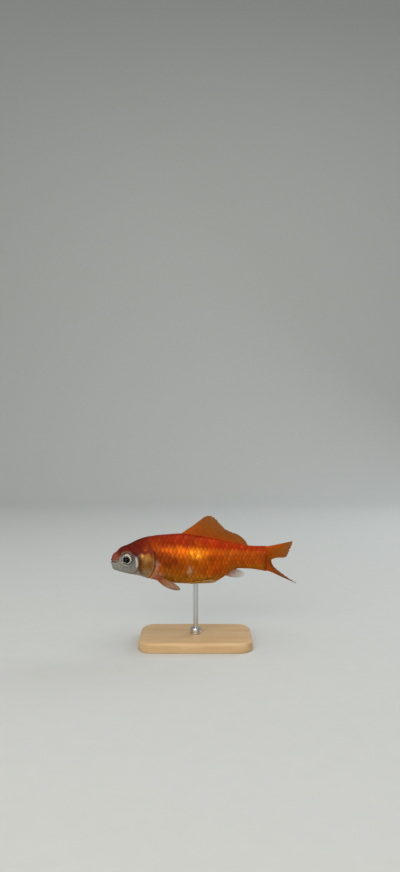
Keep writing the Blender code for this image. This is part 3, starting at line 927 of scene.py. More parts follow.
@dataclass(frozen=True)
class FinWeb(Finish):
    """Fin membrane stretched over jointed rays: clear between the rays, and clearer to the edge."""

    joint_mm: float = 0.5

    def drive(self, add: Adder) -> dict:
        """The piece's own colour and clearness, with the rays' joints as fine bands.

        Args:
            add: Adds a node and gives one of its sockets.

        Returns:
            The shader's inputs that it sets, by name.
        """
        ray = add("Attribute", output="Fac", attribute_name="ray")
        out = add("SeparateXYZ", {0: add("UVMap", uv_map="OnFin")}, "Y")
        turns = add("Math", {0: out, 1: 2 * np.pi / self.joint_mm}, operation="MULTIPLY")
        wave = add("Math", {0: turns}, operation="SINE")
        peak = add("MapRange", {"Value": wave, "From Min": 0.7, "From Max": 1.0})
        joint = add("Math", {0: peak, 1: ray}, operation="MULTIPLY")
        place = add("TexCoord", output="Object")
        fleck = add("TexNoise", {"Vector": place, "Scale": 1 / (0.9 * MM), "Detail": 3.0})
        uneven = add("MapRange", {"Value": fleck, "To Min": 0.7, "To Max": 1.3})
        shade = add("Math", {0: joint, 1: -0.18, 2: uneven}, operation="MULTIPLY_ADD")
        paint = add("Attribute", output="Color", attribute_name="markings")
        body = add("Attribute", output="Fac", attribute_name="body")
        veil = add("MapRange", {"Value": fleck, "To Min": 0.88, "To Max": 1.12})
        return {
            "Base Color": add("VectorMath", {0: paint, "Scale": shade}, operation="SCALE"),
            "Alpha": add("Math", {0: body, 1: veil}, operation="MULTIPLY", use_clamp=True),
            "Normal": add("Bump", {"Height": joint, "Distance": 0.02 * MM}),
        }


@dataclass(frozen=True)
class Iris(Finish):
    """The iris: a mirror layer under fine radial fibres, smoked along its rim."""

    def drive(self, add: Adder) -> dict:
        """The piece's own colour, streaked along the radius.

        Args:
            add: Adds a node and gives one of its sockets.

        Returns:
            The shader's inputs that it sets, by name.
        """
        on_eye = add("UVMap", uv_map="OnEye")
        fibre = add("TexNoise", {"Vector": on_eye, "Scale": 10.0, "Detail": 3.0})
        shade = add("MapRange", {"Value": fibre, "To Min": 0.6, "To Max": 1.35})
        paint = add("Attribute", output="Color", attribute_name="markings")
        return {
            "Base Color": add("VectorMath", {0: paint, "Scale": shade}, operation="SCALE"),
            "Metallic": add("MapRange", {"Value": fibre, "To Min": 0.45, "To Max": 0.2}),
            "Roughness": add("MapRange", {"Value": fibre, "To Min": 0.3, "To Max": 0.5}),
            "Normal": add("Bump", {"Height": fibre, "Distance": 0.03 * MM}),
        }


@dataclass(frozen=True)
class Pupil(Finish):
    """The lens in the pupil: so clear that only the dark inside of the eye shows."""

    def drive(self, add: Adder) -> dict:
        """Near black, with a faint blue bloom.

        Args:
            add: Adds a node and gives one of its sockets.

        Returns:
            The shader's inputs that it sets, by name.
        """
        place = add("TexCoord", output="Object")
        bloom = add("TexNoise", {"Vector": place, "Scale": 1 / (1.2 * MM)})
        return {"Base Color": add("Mix", {0: bloom, 6: "#020202", 7: "#0a0c10"}, 2, data_type="RGBA")}


@dataclass(frozen=True)
class Cornea(Finish):
    """The cornea: clear and wet, so it shows only by its highlight."""

    def drive(self, add: Adder) -> dict:
        """Fully clear, with hardly any unevenness in the film of water on it.

        Args:
            add: Adds a node and gives one of its sockets.

        Returns:
            The shader's inputs that it sets, by name.
        """
        place = add("TexCoord", output="Object")
        film = add("TexNoise", {"Vector": place, "Scale": 1 / (1.0 * MM)})
        return {
            "Base Color": "#ffffff",
            "Transmission Weight": 1.0,
            "Roughness": add("MapRange", {"Value": film, "To Min": 0.0, "To Max": 0.06}),
        }


@dataclass(frozen=True)
class OiledMaple(Finish):
    """Maple, planed along the grain and oiled: pale, with fine pores and faint growth bands."""

    band_mm: float = 3.2
    pore_mm: float = 0.25

    def drive(self, add: Adder) -> dict:
        """Bands and pores stretched along X, the way the grain runs.

        Args:
            add: Adds a node and gives one of its sockets.

        Returns:
            The shader's inputs that it sets, by name.
        """
        place = add("TexCoord", output="Object")
        long = add("Mapping", {"Vector": place, "Scale": (0.1, 1.0, 1.0)})
        band = {"Vector": long, "Scale": 1 / (self.band_mm * MM), "Detail": 2.0, "Distortion": 0.6}
        band = add("TexNoise", band)
        pore = add("TexNoise", {"Vector": long, "Scale": 1 / (self.pore_mm * MM), "Detail": 2.0})
        share = add("MapRange", {"Value": band, "To Min": -0.3, "To Max": 1.3})
        wood = add("Mix", {0: share, 6: "#d9bd92", 7: "#c19a68"}, 2, data_type="RGBA")
        dark = add("MapRange", {"Value": pore, "From Min": 0.6, "From Max": 0.75, "To Max": 0.35})
        return {
            "Base Color": add("Mix", {0: dark, 6: wood, 7: "#8f673d"}, 2, data_type="RGBA"),
            "Roughness": add("MapRange", {"Value": pore, "To Min": 0.38, "To Max": 0.55}),
            "Normal": add("Bump", {"Height": pore, "Distance": 0.03 * MM}),
        }


@dataclass(frozen=True)
class SatinSteel(Finish):
    """Stainless steel, turned and brushed round, so its highlight spreads along the rod."""

    line_mm: float = 0.12

    def drive(self, add: Adder) -> dict:
        """Fine lines across the rod, which the brush left.

        Args:
            add: Adds a node and gives one of its sockets.

        Returns:
            The shader's inputs that it sets, by name.
        """
        place = add("TexCoord", output="Object")
        flat = add("Mapping", {"Vector": place, "Scale": (0.15, 0.15, 1.0)})
        line = add("TexNoise", {"Vector": flat, "Scale": 1 / (self.line_mm * MM), "Detail": 2.0})
        return {
            "Base Color": add("Mix", {0: line, 6: "#b9bbbd", 7: "#dcdddd"}, 2, data_type="RGBA"),
            "Metallic": 1.0,
            "Roughness": add("MapRange", {"Value": line, "To Min": 0.2, "To Max": 0.42}),
            "Normal": add("Bump", {"Height": line, "Distance": 0.004 * MM}),
        }


@dataclass(frozen=True)
class MattPaper(Finish):
    """Seamless background paper, pale and matt, with a faint tooth."""

    def drive(self, add: Adder) -> dict:
        """One pale tone, barely uneven.

        Args:
            add: Adds a node and gives one of its sockets.

        Returns:
            The shader's inputs that it sets, by name.
        """
        place = add("TexCoord", output="Object")
        tooth = add("TexNoise", {"Vector": place, "Scale": 1 / (6 * MM), "Detail": 4.0})
        return {"Base Color": add("Mix", {0: tooth, 6: "#c9ccc9", 7: "#ced1ce"}, 2, data_type="RGBA")}


# ============================== meshes


@dataclass
class Surface:
    """A closed mesh worked out as arrays.

    points are in metres, faces are lists of point numbers, values are per point (one number or a colour)
    and maps hold a UV pair per face corner.
    """

    points: Array
    faces: list
    values: dict[str, Array] = field(default_factory=dict)
    maps: dict[str, Array] = field(default_factory=dict)

    def piece(
        self,
        name: str,
        finish: Material,
        replaced: Sequence[str] = (),
        crease: float = 50.0,
    ) -> Piece:
        """Makes the object, which rides on the model's one body.

        Args:
            name: The piece's name.
            finish: Its material.
            replaced: The solids that it stands for.
            crease: Edges sharper than this, in degrees, stay sharp.

        Returns:
            The object, at the origin with its place in its mesh.
        """
        mesh = bpy.data.meshes.new(name)
        mesh.from_pydata(self.points, [], self.faces)
        mesh.shade_smooth()
        mesh.set_sharp_from_angle(angle=float(np.radians(crease)))
        for key, value in self.values.items():
            if value.ndim == 2:
                layer = mesh.color_attributes.new(key, "FLOAT_COLOR", "POINT")
                layer.data.foreach_set("color", np.column_stack([value, np.ones(len(value))]).ravel())
            else:
                layer = mesh.attributes.new(key, "FLOAT", "POINT")
                layer.data.foreach_set("value", value.ravel())
        for key, value in self.maps.items():
            mesh.uv_layers.new(name=key).data.foreach_set("uv", value.ravel())
        mesh.materials.append(finish)
        thing = bpy.data.objects.new(name, mesh)
        bpy.context.scene.collection.objects.link(thing)
        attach(thing, "root")
        if replaced:
            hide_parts(*replaced)
        log.info("%s: %d points, %d faces", name, len(self.points), len(self.faces))
        return thing


def grid_faces(rows: int, columns: int, wrap: bool = False) -> Array:
    """Quads over a grid of points.

    Args:
        rows: Points along the first axis.
        columns: Points along the second axis.
        wrap: Whether the last column joins the first.

    Returns:
        Four point numbers per face.
    """
    number = np.arange(rows * columns).reshape(rows, columns)
    beside = np.roll(number, -1, axis=1)
    quads = np.stack([number[:-1], beside[:-1], beside[1:], number[1:]], axis=-1)
    return (quads if wrap else quads[:, :-1]).reshape(-1, 4)


def capped_faces(rows: int, columns: int) -> list[list[int]]:
    """Quads between closed rings of points, and a fan to one point more at each end.

    Args:
        rows: Number of rings.
        columns: Points in each ring.

    Returns:
        Point numbers of each face. The first ring's tip and the last one's come after the rings' points.
    """
    number, tip = np.arange(columns), np.full(columns, rows * columns)
    beside, last = np.roll(number, -1), (rows - 1) * columns
    first_fan = np.stack([number, tip, beside], axis=-1)
    last_fan = np.stack([number + last, beside + last, tip + 1], axis=-1)
    return grid_faces(rows, columns, wrap=True).tolist() + first_fan.tolist() + last_fan.tolist()


def corner_map(u: Array, v: Array, faces: list) -> Array:
    """Reads a map that is known at the points out to each face's corners."""
    corners = np.concatenate([np.asarray(face) for face in faces])
    return np.stack([u.ravel()[corners], v.ravel()[corners]], axis=-1)


# ============================== skin


@dataclass(frozen=True)
class Skin:
    """The one skin of head, trunk and tail stem, which lies under the scales by their depth."""

    markings: Markings
    coat: float = 0.16
    columns: int = 288
    nose_rings: int = 26
    head_step: float = 0.13
    edge_step: float = 0.06
    edge_reach: Pair = (0.9, 1.1)
    bend_from: float = 8.0
    bend_to: float = 30.0
    head_end: float = 21.5
    body_step: float = 0.45

    def edge_band(self) -> Pair:
        """Where the finest rings start and end, about the head's rear edge."""
        return HEAD.edge - self.edge_reach[0], HEAD.edge + self.edge_reach[1]

    def rings(self) -> Array:
        """Distances along: steps of angle round the nose that grow from its tip, fine steps over the head,
        finer ones at its rear edge and coarser ones behind.

        Returns:
            Rising distances, one for each ring of points.
        """
        angle = np.linspace(0, 1, self.nose_rings + 1)[1:] ** 1.7 * np.pi / 2
        nose = FORM.snout_rounding * (1 - np.cos(angle))
        before, after = self.edge_band()
        head = np.arange(nose[-1] + self.head_step, before, self.head_step)
        edge = np.arange(before, after, self.edge_step)
        shoulder = np.arange(after, self.head_end, 2 * self.head_step)
        body_steps = int((FORM.length - self.head_end) / self.body_step)
        body = np.linspace(self.head_end, FORM.length, body_steps)
        root = FORM.length + FORM.root_taper * np.sin(np.linspace(0, np.pi / 2, 9)[1:])
        return np.concatenate([nose, head, edge, shoulder, body, root])

    def bent(self, along: Array, turn: Array) -> Array:
        """Bends the rings to the head's rear edge: fully at the edge, and less and less away from it.

        Args:
            along: Each ring's own distance.
            turn: Angle round the body.

        Returns:
            Distances at which the rings' points lie.
        """
        before, after = self.edge_band()
        bend = window(along, (self.bend_from, before), (after, self.bend_to))
        place = along
        for _ in range(5):
            place = along - bend * HEAD.set_forward(FORM.point(place, turn)[..., 2])
        return place

    def depth(self, along: Array, up: Array) -> Array:
        """How far the skin lies inside the plain form: nothing on the bare head, the coat's depth under
        the scales."""
        return self.coat * ease(HEAD.behind(along, up), 0.2, 1.4)

    def build(self, finish: Material) -> Piece:
        """Rings of points moved along their normals by relief and depth, closed by a point at each end.

        Args:
            finish: The piece's material.

        Returns:
            The piece.
        """
        along = self.rings()
        turn = np.linspace(0, 2 * np.pi, self.columns, endpoint=False)
        run, girth = np.meshgrid(along, turn, indexing="ij")
        run = self.bent(run, girth)
        plain = FORM.point(run, girth)
        flank = np.abs(np.sin(girth))
        lift = HEAD.relief(run, plain[..., 2], flank) - self.depth(run, plain[..., 2])
        rings = plain + FORM.outward(run, girth) * lift[..., None]
        points = np.vstack([rings.reshape(-1, 3), rings[0].mean(0), rings[-1].mean(0)])
        faces = [face[::-1] for face in capped_faces(len(along), self.columns)]
        colour = self.markings.colour(run, girth)
        sheen = self.markings.sheen(run, girth).ravel()
        surface = Surface(FORM.to_world(points), faces)
        surface.values["markings"] = np.vstack([colour.reshape(-1, 3), colour[0].mean(0), colour[-1].mean(0)])
        surface.values["sheen"] = np.append(sheen, (sheen[0], sheen[-1]))
        surface.maps["OFBake"] = self.unwrap(along)
        replaced = ("head", "lower_jaw", "gill_cover_left", "gill_cover_right", "trunk", "tail_stem")
        return surface.piece("skin", finish, replaced, crease=80.0)

    def unwrap(self, along: Array) -> Array:
        """The bake's map: along the fish by across its girth, cut open along the back.

        Args:
            along: Each ring's own distance.

        Returns:
            A pair for each corner of each face, in the faces' order.
        """
        u = np.concatenate([[0.0], along]) / (along[-1]) * 0.98 + 0.01
        v = np.linspace(0.01, 0.99, self.columns + 1)
        row, column = np.divmod(np.arange((len(along) - 1) * self.columns), self.columns)
        corners = ((2, 0), (2, 1), (1, 1), (1, 0))
        quads = np.stack([np.stack([u[row + r], v[column + c]], -1) for r, c in corners], axis=1)
        first, middle, last = v[:-1], (v[:-1] + v[1:]) / 2, v[1:]
        near, tip, rear, end = (np.full_like(first, value) for value in (u[1], u[0], u[-1], 1.0))
        nose = np.stack([near, last, tip, middle, near, first], -1)
        root = np.stack([end, middle, rear, last, rear, first], -1)
        return np.concatenate([quads.reshape(-1), nose.reshape(-1), root.reshape(-1)])


# ============================== scales


@dataclass(frozen=True)
class ScaleCoat:
    """The scales of one flank: rows that run along the body, each set half a scale on from the next."""

    skin: Skin
    side: Side
    columns: int = 11
    rows: int = 5
    front: float = 0.78
    rear: float = 0.88
    tall: float = 0.86
    buried: float = 0.07
    proud: float = 0.17
    lean_power: float = 1.15
    thickness: float = 0.05
    clear_of_head: float = 0.3
    row_span: Pair = (10.0, 66.0)
    along_span: Pair = (10.0, 66.5)
    girth_span: Pair = (-17.0, 15.0)
    turn_past: float = 0.9
    pitch_marks: Rows = ((10.0, 1.7), (30.0, 1.68), (50.0, 1.55), (66.0, 1.35))
    row_marks: Rows = ((10.0, 1.9), (18.0, 2.05), (30.0, 2.1), (45.0, 1.85), (60.0, 1.4), (66.0, 1.35))
    patch: float = 0.012
    seed: int = 40

    def line_up(self, along: Array) -> Array:
        """Height of the lateral line, which sags from the shoulder to the middle of the tail stem."""
        return -0.6 + 2.3 * ((FORM.length - along) / 46.0) ** 2

    def pitch(self, along: Array) -> Array:
        """Distance from a scale to the next in its row."""
        return table_at(self.pitch_marks, along)[0]

    def row_step(self, along: Array) -> Array:
        """Girth from one row to the next."""
        return table_at(self.row_marks, along)[0]

    def girth_table(self) -> Table:
        """The turn that lies a given girth above the lateral line, for every distance along.

        Returns:
            Distances along, girths, and the turns on a grid of the two: the section's arc length is
            summed over small steps of turn, from past the back to past the belly, and read backwards.
        """
        along = np.linspace(*self.along_span, 227)
        turn = np.linspace(-self.turn_past, np.pi + self.turn_past, 420)
        place = FORM.point(along[:, None], turn[None, :])
        step = np.linalg.norm(np.diff(place, axis=1), axis=-1)
        arc = np.concatenate([np.zeros((len(along), 1)), np.cumsum(step, axis=1)], axis=1)
        start = FORM.turn_at(along, self.line_up(along))
        girth = np.linspace(*self.girth_span, 321)
        turns = np.empty((len(along), len(girth)))
        for i, (arcs, begin) in enumerate(zip(arc, start)):
            turns[i] = np.interp(np.interp(begin, turn, arcs) - girth, arcs, turn)
        return along, girth, turns

    def lookup(self, table: Table, along: Array, girth: Array) -> Array:
        """Reads the girth table between its entries, weighting the four nearest by closeness.

        Args:
            table: The turns by distance along and girth.
            along: Distance back from the snout.
            girth: Girth above the lateral line.

        Returns:
            Turns on the right flank.
        """
        alongs, girths, turns = table
        i = np.clip((along - alongs[0]) / (alongs[1] - alongs[0]), 0, len(alongs) - 1.001)
        j = np.clip((girth - girths[0]) / (girths[1] - girths[0]), 0, len(girths) - 1.001)
        a, b = i.astype(int), j.astype(int)
        s, t = i - a, j - b
        low = turns[a, b] * (1 - t) + turns[a, b + 1] * t
        high = turns[a + 1, b] * (1 - t) + turns[a + 1, b + 1] * t
        return low * (1 - s) + high * s

    def centres(self, table: Table) -> tuple[Array, Array]:
        """Places of the scales.

        Args:
            table: The turns by distance along and girth.

        Returns:
            Distance along and girth above the lateral line of each scale that lies behind the head,
            before the tail fin and short of the back's and the belly's middle line.
        """
        fine = np.linspace(*self.row_span, 2000)
        count = np.concatenate([[0.0], np.cumsum(np.diff(fine) / self.pitch(fine[:-1]))])
        rows = np.arange(-8, 8)
        number = np.arange(0, int(count[-1]))
        row, index = np.meshgrid(rows, number, indexing="ij")
        along = np.interp(index + 0.5 * (row % 2), count, fine).ravel()
        girth = row.ravel() * self.row_step(along)
        turn = self.lookup(table, along, girth)
        up = FORM.point(along, turn)[..., 2]
        behind = HEAD.behind(along, up)
        least = self.pitch(along) * (0.05 + 0.3 * HEAD.gill_opening(up))
        kept = (behind > least) & (along < FORM.length - 1.2)
        kept &= (turn > -0.02) & (turn < np.pi + 0.02)
        return along[kept], girth[kept]

    def build(self, finish: Material) -> Piece:
        """Lays one plate at each place, coloured like the body there, with a tone and a patch of the bake of
        its own.

        Args:
            finish: The piece's material.

        Returns:
            The piece, which holds all the scales of the flank.
        """
        table = self.girth_table()
        along, girth = self.centres(table)
        total = len(along)
        dice = np.random.default_rng(self.seed + self.side.value)
        angle = np.radians(np.linspace(-80, 80, self.columns))
        out = np.linspace(0, 1, self.rows)[:, None]
        place, turn, top = self.plates(table, along, girth, angle, out, dice)
        normal = FORM.outward(place, turn)
        low_edges = (top - normal * self.thickness)[:, [0, -1], :, :]
        points = np.concatenate([top.reshape(total, -1, 3), low_edges.reshape(total, -1, 3)], axis=1)

        faces, size = self.plate_faces(), points.shape[1]
        if self.side is Side.LEFT:
            faces = [face[::-1] for face in faces]
        all_faces = [[p + n * size for p in face] for n in range(total) for face in faces]
        surface = Surface(FORM.to_world(points.reshape(-1, 3)), all_faces)
        paint = self.skin.markings.colour(place, turn).reshape(total, -1, 3)
        shine = self.skin.markings.sheen(place, turn).reshape(total, -1)
        edge = np.r_[0 : self.columns, (self.rows - 1) * self.columns : self.rows * self.columns]
        surface.values["markings"] = np.concatenate([paint, paint[:, edge]], axis=1).reshape(-1, 3)
        surface.values["sheen"] = np.concatenate([shine, shine[:, edge]], axis=1).reshape(-1)
        surface.values["tone"] = np.repeat(dice.uniform(0, 1, total), size)
        u, v = (grid.ravel() for grid in np.broadcast_arrays(0.5 + 0.5 * np.sin(angle), out))
        on_scale = corner_map(np.append(u, u[edge]), np.append(v, v[edge]), faces)
        surface.maps["OnScale"] = np.tile(on_scale, (total, 1))
        root_u = 0.01 + 0.98 * along / (FORM.length + FORM.root_taper)
        root_turn = self.lookup(table, along, girth) * self.side.value
        root_v = 0.01 + 0.98 * np.mod(root_turn, 2 * np.pi) / (2 * np.pi)
        patches = (on_scale[None, :, ::-1] - 0.5) * self.patch
        surface.maps["OFBake"] = np.stack([root_u, root_v], -1)[:, None, :] + patches
        return surface.piece(f"scales_{self.side.word}", finish, crease=40.0)

    def plates(
        self,
        table: Table,
        along: Array,
        girth: Array,
        angle: Array,
        out: Array,
        dice: np.random.Generator,
    ) -> tuple[Array, Array, Array]:
        """The upper faces of the oval plates.

        Args:
            table: The turns by distance along and girth.
            along: Distance along of each plate's root.
            girth: Its girth above the lateral line.
            angle: Angles across a plate, 0 on its middle line.
            out: Shares of its length, from front edge to rear edge.
            dice: The coat's random draws.

        Returns:
            Distance along, turn and place of each point. A plate spans an ellipse: across runs as
            sin(angle) and along as cos(angle). It leans evenly from a front edge buried in the skin to a
            rear edge that stands proud of it, so of two plates the one set further forward lies on top.
        """
        along, girth = along[:, None, None], girth[:, None, None]
        pitch = self.pitch(along) * dice.uniform(0.97, 1.03, along.shape)
        length = self.front + self.rear
        ahead = (length * out - self.front) * np.cos(angle)
        lean = ((ahead + self.front) / length) ** self.lean_power
        place = along + pitch * ahead
        across = girth + self.row_step(along) * self.tall * np.sin(angle) + 0 * ahead
        turn = self.lookup(table, place, across)
        up = FORM.point(place, turn)[..., 2]
        inside = np.maximum(self.clear_of_head - HEAD.behind(place, up), 0.0)
        place = place + 0.94 * inside * ease(HEAD.gill_opening(up), 0.0, 0.35)
        free = dice.uniform(0.9, 1.1, along.shape) * (0.4 + 0.6 * np.abs(np.sin(turn)))
        tilt = dice.normal(0.0, 0.008, along.shape) * np.sin(angle)
        lift = -self.buried + (self.buried + self.proud) * free * lean + tilt
        signed = turn * self.side.value
        base = FORM.point(place, signed)
        lift = lift + HEAD.relief(place, base[..., 2], np.abs(np.sin(turn)))
        lift = lift - self.skin.depth(place, base[..., 2])
        return place, signed, base + FORM.outward(place, signed) * lift[..., None]

    def plate_faces(self) -> list[list[int]]:
        """Faces of one plate: its top, its floor between front and rear edge, and the walls round it.

        Returns:
            Point numbers of each face, counted from the plate's first point.
        """
        wide, last = self.columns, (self.rows - 1) * self.columns
        front, rear = self.rows * wide, self.rows * wide + wide
        faces = grid_faces(self.rows, wide).tolist()
        for k in range(wide - 1):
            faces.append([front + k, rear + k, rear + k + 1, front + k + 1])
            faces.append([k + 1, k, front + k, front + k + 1])
            faces.append([last + k, last + k + 1, rear + k + 1, rear + k])
        low = [r * wide for r in range(self.rows)]
        high = [r * wide + wide - 1 for r in range(self.rows)]
        faces.append([*low, rear, front])
        faces.append([*high[::-1], front + wide - 1, rear + wide - 1])
        return faces


# ============================== fins


RootLine = Callable[[Array], Array]


@dataclass(frozen=True)
class FinPaint:
    """A fin's colours from root to edge, and how much of the light each part stops."""

    root: str
    middle: str
    edge: str
    ray: str
    web_root: float
    web_edge: float
    ray_edge: float
    front: str = "#ffffff"
    front_share: float = 0.0


@dataclass(frozen=True)
class Fin:
    """A fin as a sheet of membrane over rays that fork towards the edge.

    middle gives the fin's middle surface at a share of the rays and a part of their length. flip mirrors
    the dip of the buried root for a fin on the right.
    """

    name: str
    slot: str
    replaced: tuple[str, ...]
    rays: int
    middle: Callable[[Array, Array], Array]
    paint: FinPaint
    hidden: float
    dip: Pair = (0.0, 0.0)
    steps: int = 44
    per_ray: int = 12
    web: float = 0.05
    web_bow: float = 0.05
    ridge: float = 0.1
    root_swell: float = 0.35
    swell_reach: float = 0.12
    notch: float = 0.022
    split: float = 0.45
    seed: int = 1
    flip: bool = False
    gather: float = 1.0
    sink: tuple[float, ...] = (1.0, 0.85, 0.7, 0.56, 0.42, 0.28, 0.14)

    def forked(self, ray: Array, out: Array) -> Array:
        """1 on a ray and 0 between rays.

        A ray is a ridge with a bell-shaped section. Past the split it parts in two and later in four,
        each branch moving off as the length goes on.

        Args:
            ray: Place among the rays, in rays.
            out: Part of the rays' length, from root 0 to edge 1.

        Returns:
            The height of the ridge, from 0 to 1.
        """
        off = np.abs(ray - np.round(ray))
        first = 0.23 * ease(out, self.split, 1.05)
        second = 0.1 * ease(out, self.split + 0.25, 1.05)
        width = 0.13 - 0.06 * ease(out, self.split, 1.0)
        stiff = np.round(ray) == 0
        branch = np.abs(np.abs(off - first) - second)
        return np.where(stiff, bell(off, 0.2), bell(branch, width))

    def reach(self, ray: Array) -> Array:
        """How far the membrane goes at each ray: full on the rays, notched between them, uneven from ray
        to ray and nicked in a few places.

        Args:
            ray: Place among the rays, in rays.

        Returns:
            Shares of the rays' length.
        """
        dice = np.random.default_rng(self.seed)
        ends = 1 + dice.uniform(-0.025, 0.0, self.rays)
        nicks = dice.uniform(0, 1, self.rays) < 0.2
        depth = self.notch * (1 + 1.6 * nicks[np.clip(ray.astype(int), 0, self.rays - 1)])
        off = np.abs(ray - np.round(ray)) * 2
        return np.interp(ray, np.arange(self.rays), ends) - depth * ease(off, 0.3, 1.0)

    def buried(self, sheet: Array) -> Array:
        """Continues the rays back into the body: each runs on straight from its root and dips as a
        parabola, while the rays gather towards their middle.

        Args:
            sheet: The fin's middle surface, rays by steps.

        Returns:
            The hidden part's points, from the deepest to the root.
        """
        root = sheet[:, :1]
        run = unit(sheet[:, 1:2] - root)
        dip = np.array((0.0, *self.dip)) * (1, -1 if self.flip else 1, 1)
        share = np.array(self.sink)[None, :, None]
        middle = root.mean(axis=0)
        gathered = middle + (root - middle) * (1 - (1 - self.gather) * share)
        return gathered - run * self.hidden * share + dip * share**2

    def half_thickness(self, share: Array, out: Array, ridge: Array) -> Array:
        """Web and rays, swollen at the root and drawn in to a thin edge.

        Args:
            share: Place among the rays, from 0 to 1.
            out: Part of the rays' length, from root 0 to edge 1.
            ridge: How much of a ray is there, from 0 to 1.

        Returns:
            Half the thickness in millimetres.
        """
        half = self.web + ridge * self.ridge * (1 - 0.62 * out)
        ends = np.maximum(np.sqrt(1 - (2 * share - 1) ** 2), 0.1)
        half += self.root_swell * ends * np.exp(-out / self.swell_reach)
        return half * (1 - 0.85 * ease(out, 0.965, 1.0))

    def build(self, finish: Material) -> Piece:
        """Two sheets, each half the thickness off the middle surface, sewn together round the rim.

        Args:
            finish: The piece's material.

        Returns:
            The piece.
        """
        share = np.linspace(0, 1, (self.rays - 1) * self.per_ray + 1)[:, None]
        ray = share * (self.rays - 1)
        out = np.linspace(0, 1, self.steps) * self.reach(ray)
        sheet = self.middle(share, out)
        sheet = np.concatenate([self.buried(sheet), sheet], axis=1)
        hidden = len(self.sink)
        out = np.concatenate([np.repeat(out[:, :1], hidden, axis=1), out], axis=1)
        ridge = self.forked(ray, out)
        ridge[:, :hidden] = 0
        ridge *= 0.3 + 0.7 * ease(out, 0.0, 0.12)
        normal = unit(np.cross(np.gradient(sheet, axis=0), np.gradient(sheet, axis=1)))
        middle = sheet + normal * (self.web_bow * np.sin(2 * np.pi * ray) * out)[..., None]
        off = normal * self.half_thickness(share, out, ridge)[..., None]

        rows, steps = out.shape
        count = rows * steps
        faces = grid_faces(rows, steps)
        number = np.arange(count).reshape(rows, steps)
        rim = np.concatenate([number[:, 0], number[-1, 1:], number[-2::-1, -1], number[0, -2:0:-1]])
        turned = np.roll(rim, -1)
        walls = np.stack([rim + count, turned + count, turned, rim], axis=-1)
        all_faces = np.concatenate([faces[:, ::-1], faces + count, walls]).tolist()
        points = np.concatenate([(middle + off).reshape(-1, 3), (middle - off).reshape(-1, 3)])
        surface = Surface(FORM.to_world(points), all_faces)

        colour, body = self.coloured(share, out, ridge)
        surface.values["markings"] = np.tile(colour.reshape(-1, 3), (2, 1))
        surface.values["body"] = np.tile(body.ravel(), 2)
        surface.values["ray"] = np.tile(ridge.ravel(), 2)
        step = np.linalg.norm(np.diff(sheet, axis=1), axis=-1)
        length = np.cumsum(np.pad(step, ((0, 0), (1, 0))), axis=1)
        across = np.tile((ray + 0 * out).ravel(), 2)
        surface.maps["OnFin"] = corner_map(across, np.tile(length.ravel(), 2), all_faces)
        u = 0.02 + 0.46 * (share + 0 * out).ravel()
        v = 0.02 + 0.96 * np.linspace(0, 1, steps) + 0 * out
        surface.maps["OFBake"] = corner_map(np.append(u, u + 0.5), np.tile(v.ravel(), 2), all_faces)
        return surface.piece(self.name, finish, self.replaced, crease=60.0)

    def coloured(self, share: Array, out: Array, ridge: Array) -> tuple[Array, Array]:
        """Colour and solidity over the fin: both run from root to edge, and the rays keep more of each.

        Args:
            share: Place among the rays, from 0 to 1.
            out: Part of the rays' length, from root 0 to edge 1.
            ridge: How much of a ray is there, from 0 to 1.

        Returns:
            Linear colours, and how much of the light is stopped.
        """
        p = self.paint
        codes = (p.root, p.middle, p.edge, p.ray, p.front)
        root, middle, edge, ray, front = (np.array(linear(code)) for code in codes)
        colour = mix(root, middle, ease(out, 0.0, 0.5))
        colour = mix(colour, edge, ease(out, 0.5, 1.0))
        colour = mix(colour, ray, 0.6 * ridge * (1 - 0.5 * out))
        colour = mix(colour, front, p.front_share * (1 - ease(share, 0.0, 0.25)) * (1 - ease(out, 0.3, 0.9)))
        web = p.web_root + (p.web_edge - p.web_root) * ease(out, 0.05, 1.0)
        stiff = 1 + (p.ray_edge - 1) * ease(out, 0.2, 1.0)
        return colour, np.clip(web + (stiff - web) * ridge, 0, 1)


@dataclass(frozen=True)
class MedianRays:
    """Straight rays in the fish's middle plane, from the back or the belly out to the fin's edge.

    Each row of edge holds a share of the rays and where the edge lies there, as along and up.
    """

    root: Pair
    on_back: bool
    edge: Rows
    sunk: float = 0.1
    wave: float = 0.0
    waves: float = 0.0
    sag: float = 0.0

    def __call__(self, share: Array, out: Array) -> Array:
        """Points between root line and edge, swayed sideways by a sine wave and bowed down by a half one.

        Args:
            share: Place among the rays, from 0 to 1.
            out: Part of the rays' length, from root 0 to edge 1.

        Returns:
            Points in the fish's frame.
        """
        root_along = self.root[0] + (self.root[1] - self.root[0]) * share
        back, belly, _, _ = FORM.edges(root_along)
        root_up = back - self.sunk if self.on_back else belly + self.sunk
        tip_along, tip_up = table_at(self.edge, share, through)
        root = np.stack([root_along, FORM.spine(root_along), root_up], axis=-1)
        tip = np.stack([tip_along, FORM.spine(tip_along), tip_up], axis=-1)
        points = root + (tip - root) * out[..., None]
        points[..., 1] += self.wave * np.sin(2 * np.pi * self.waves * share) * out**2
        points[..., 2] -= self.sag * np.sin(np.pi * out) * (1 - share)
        return points


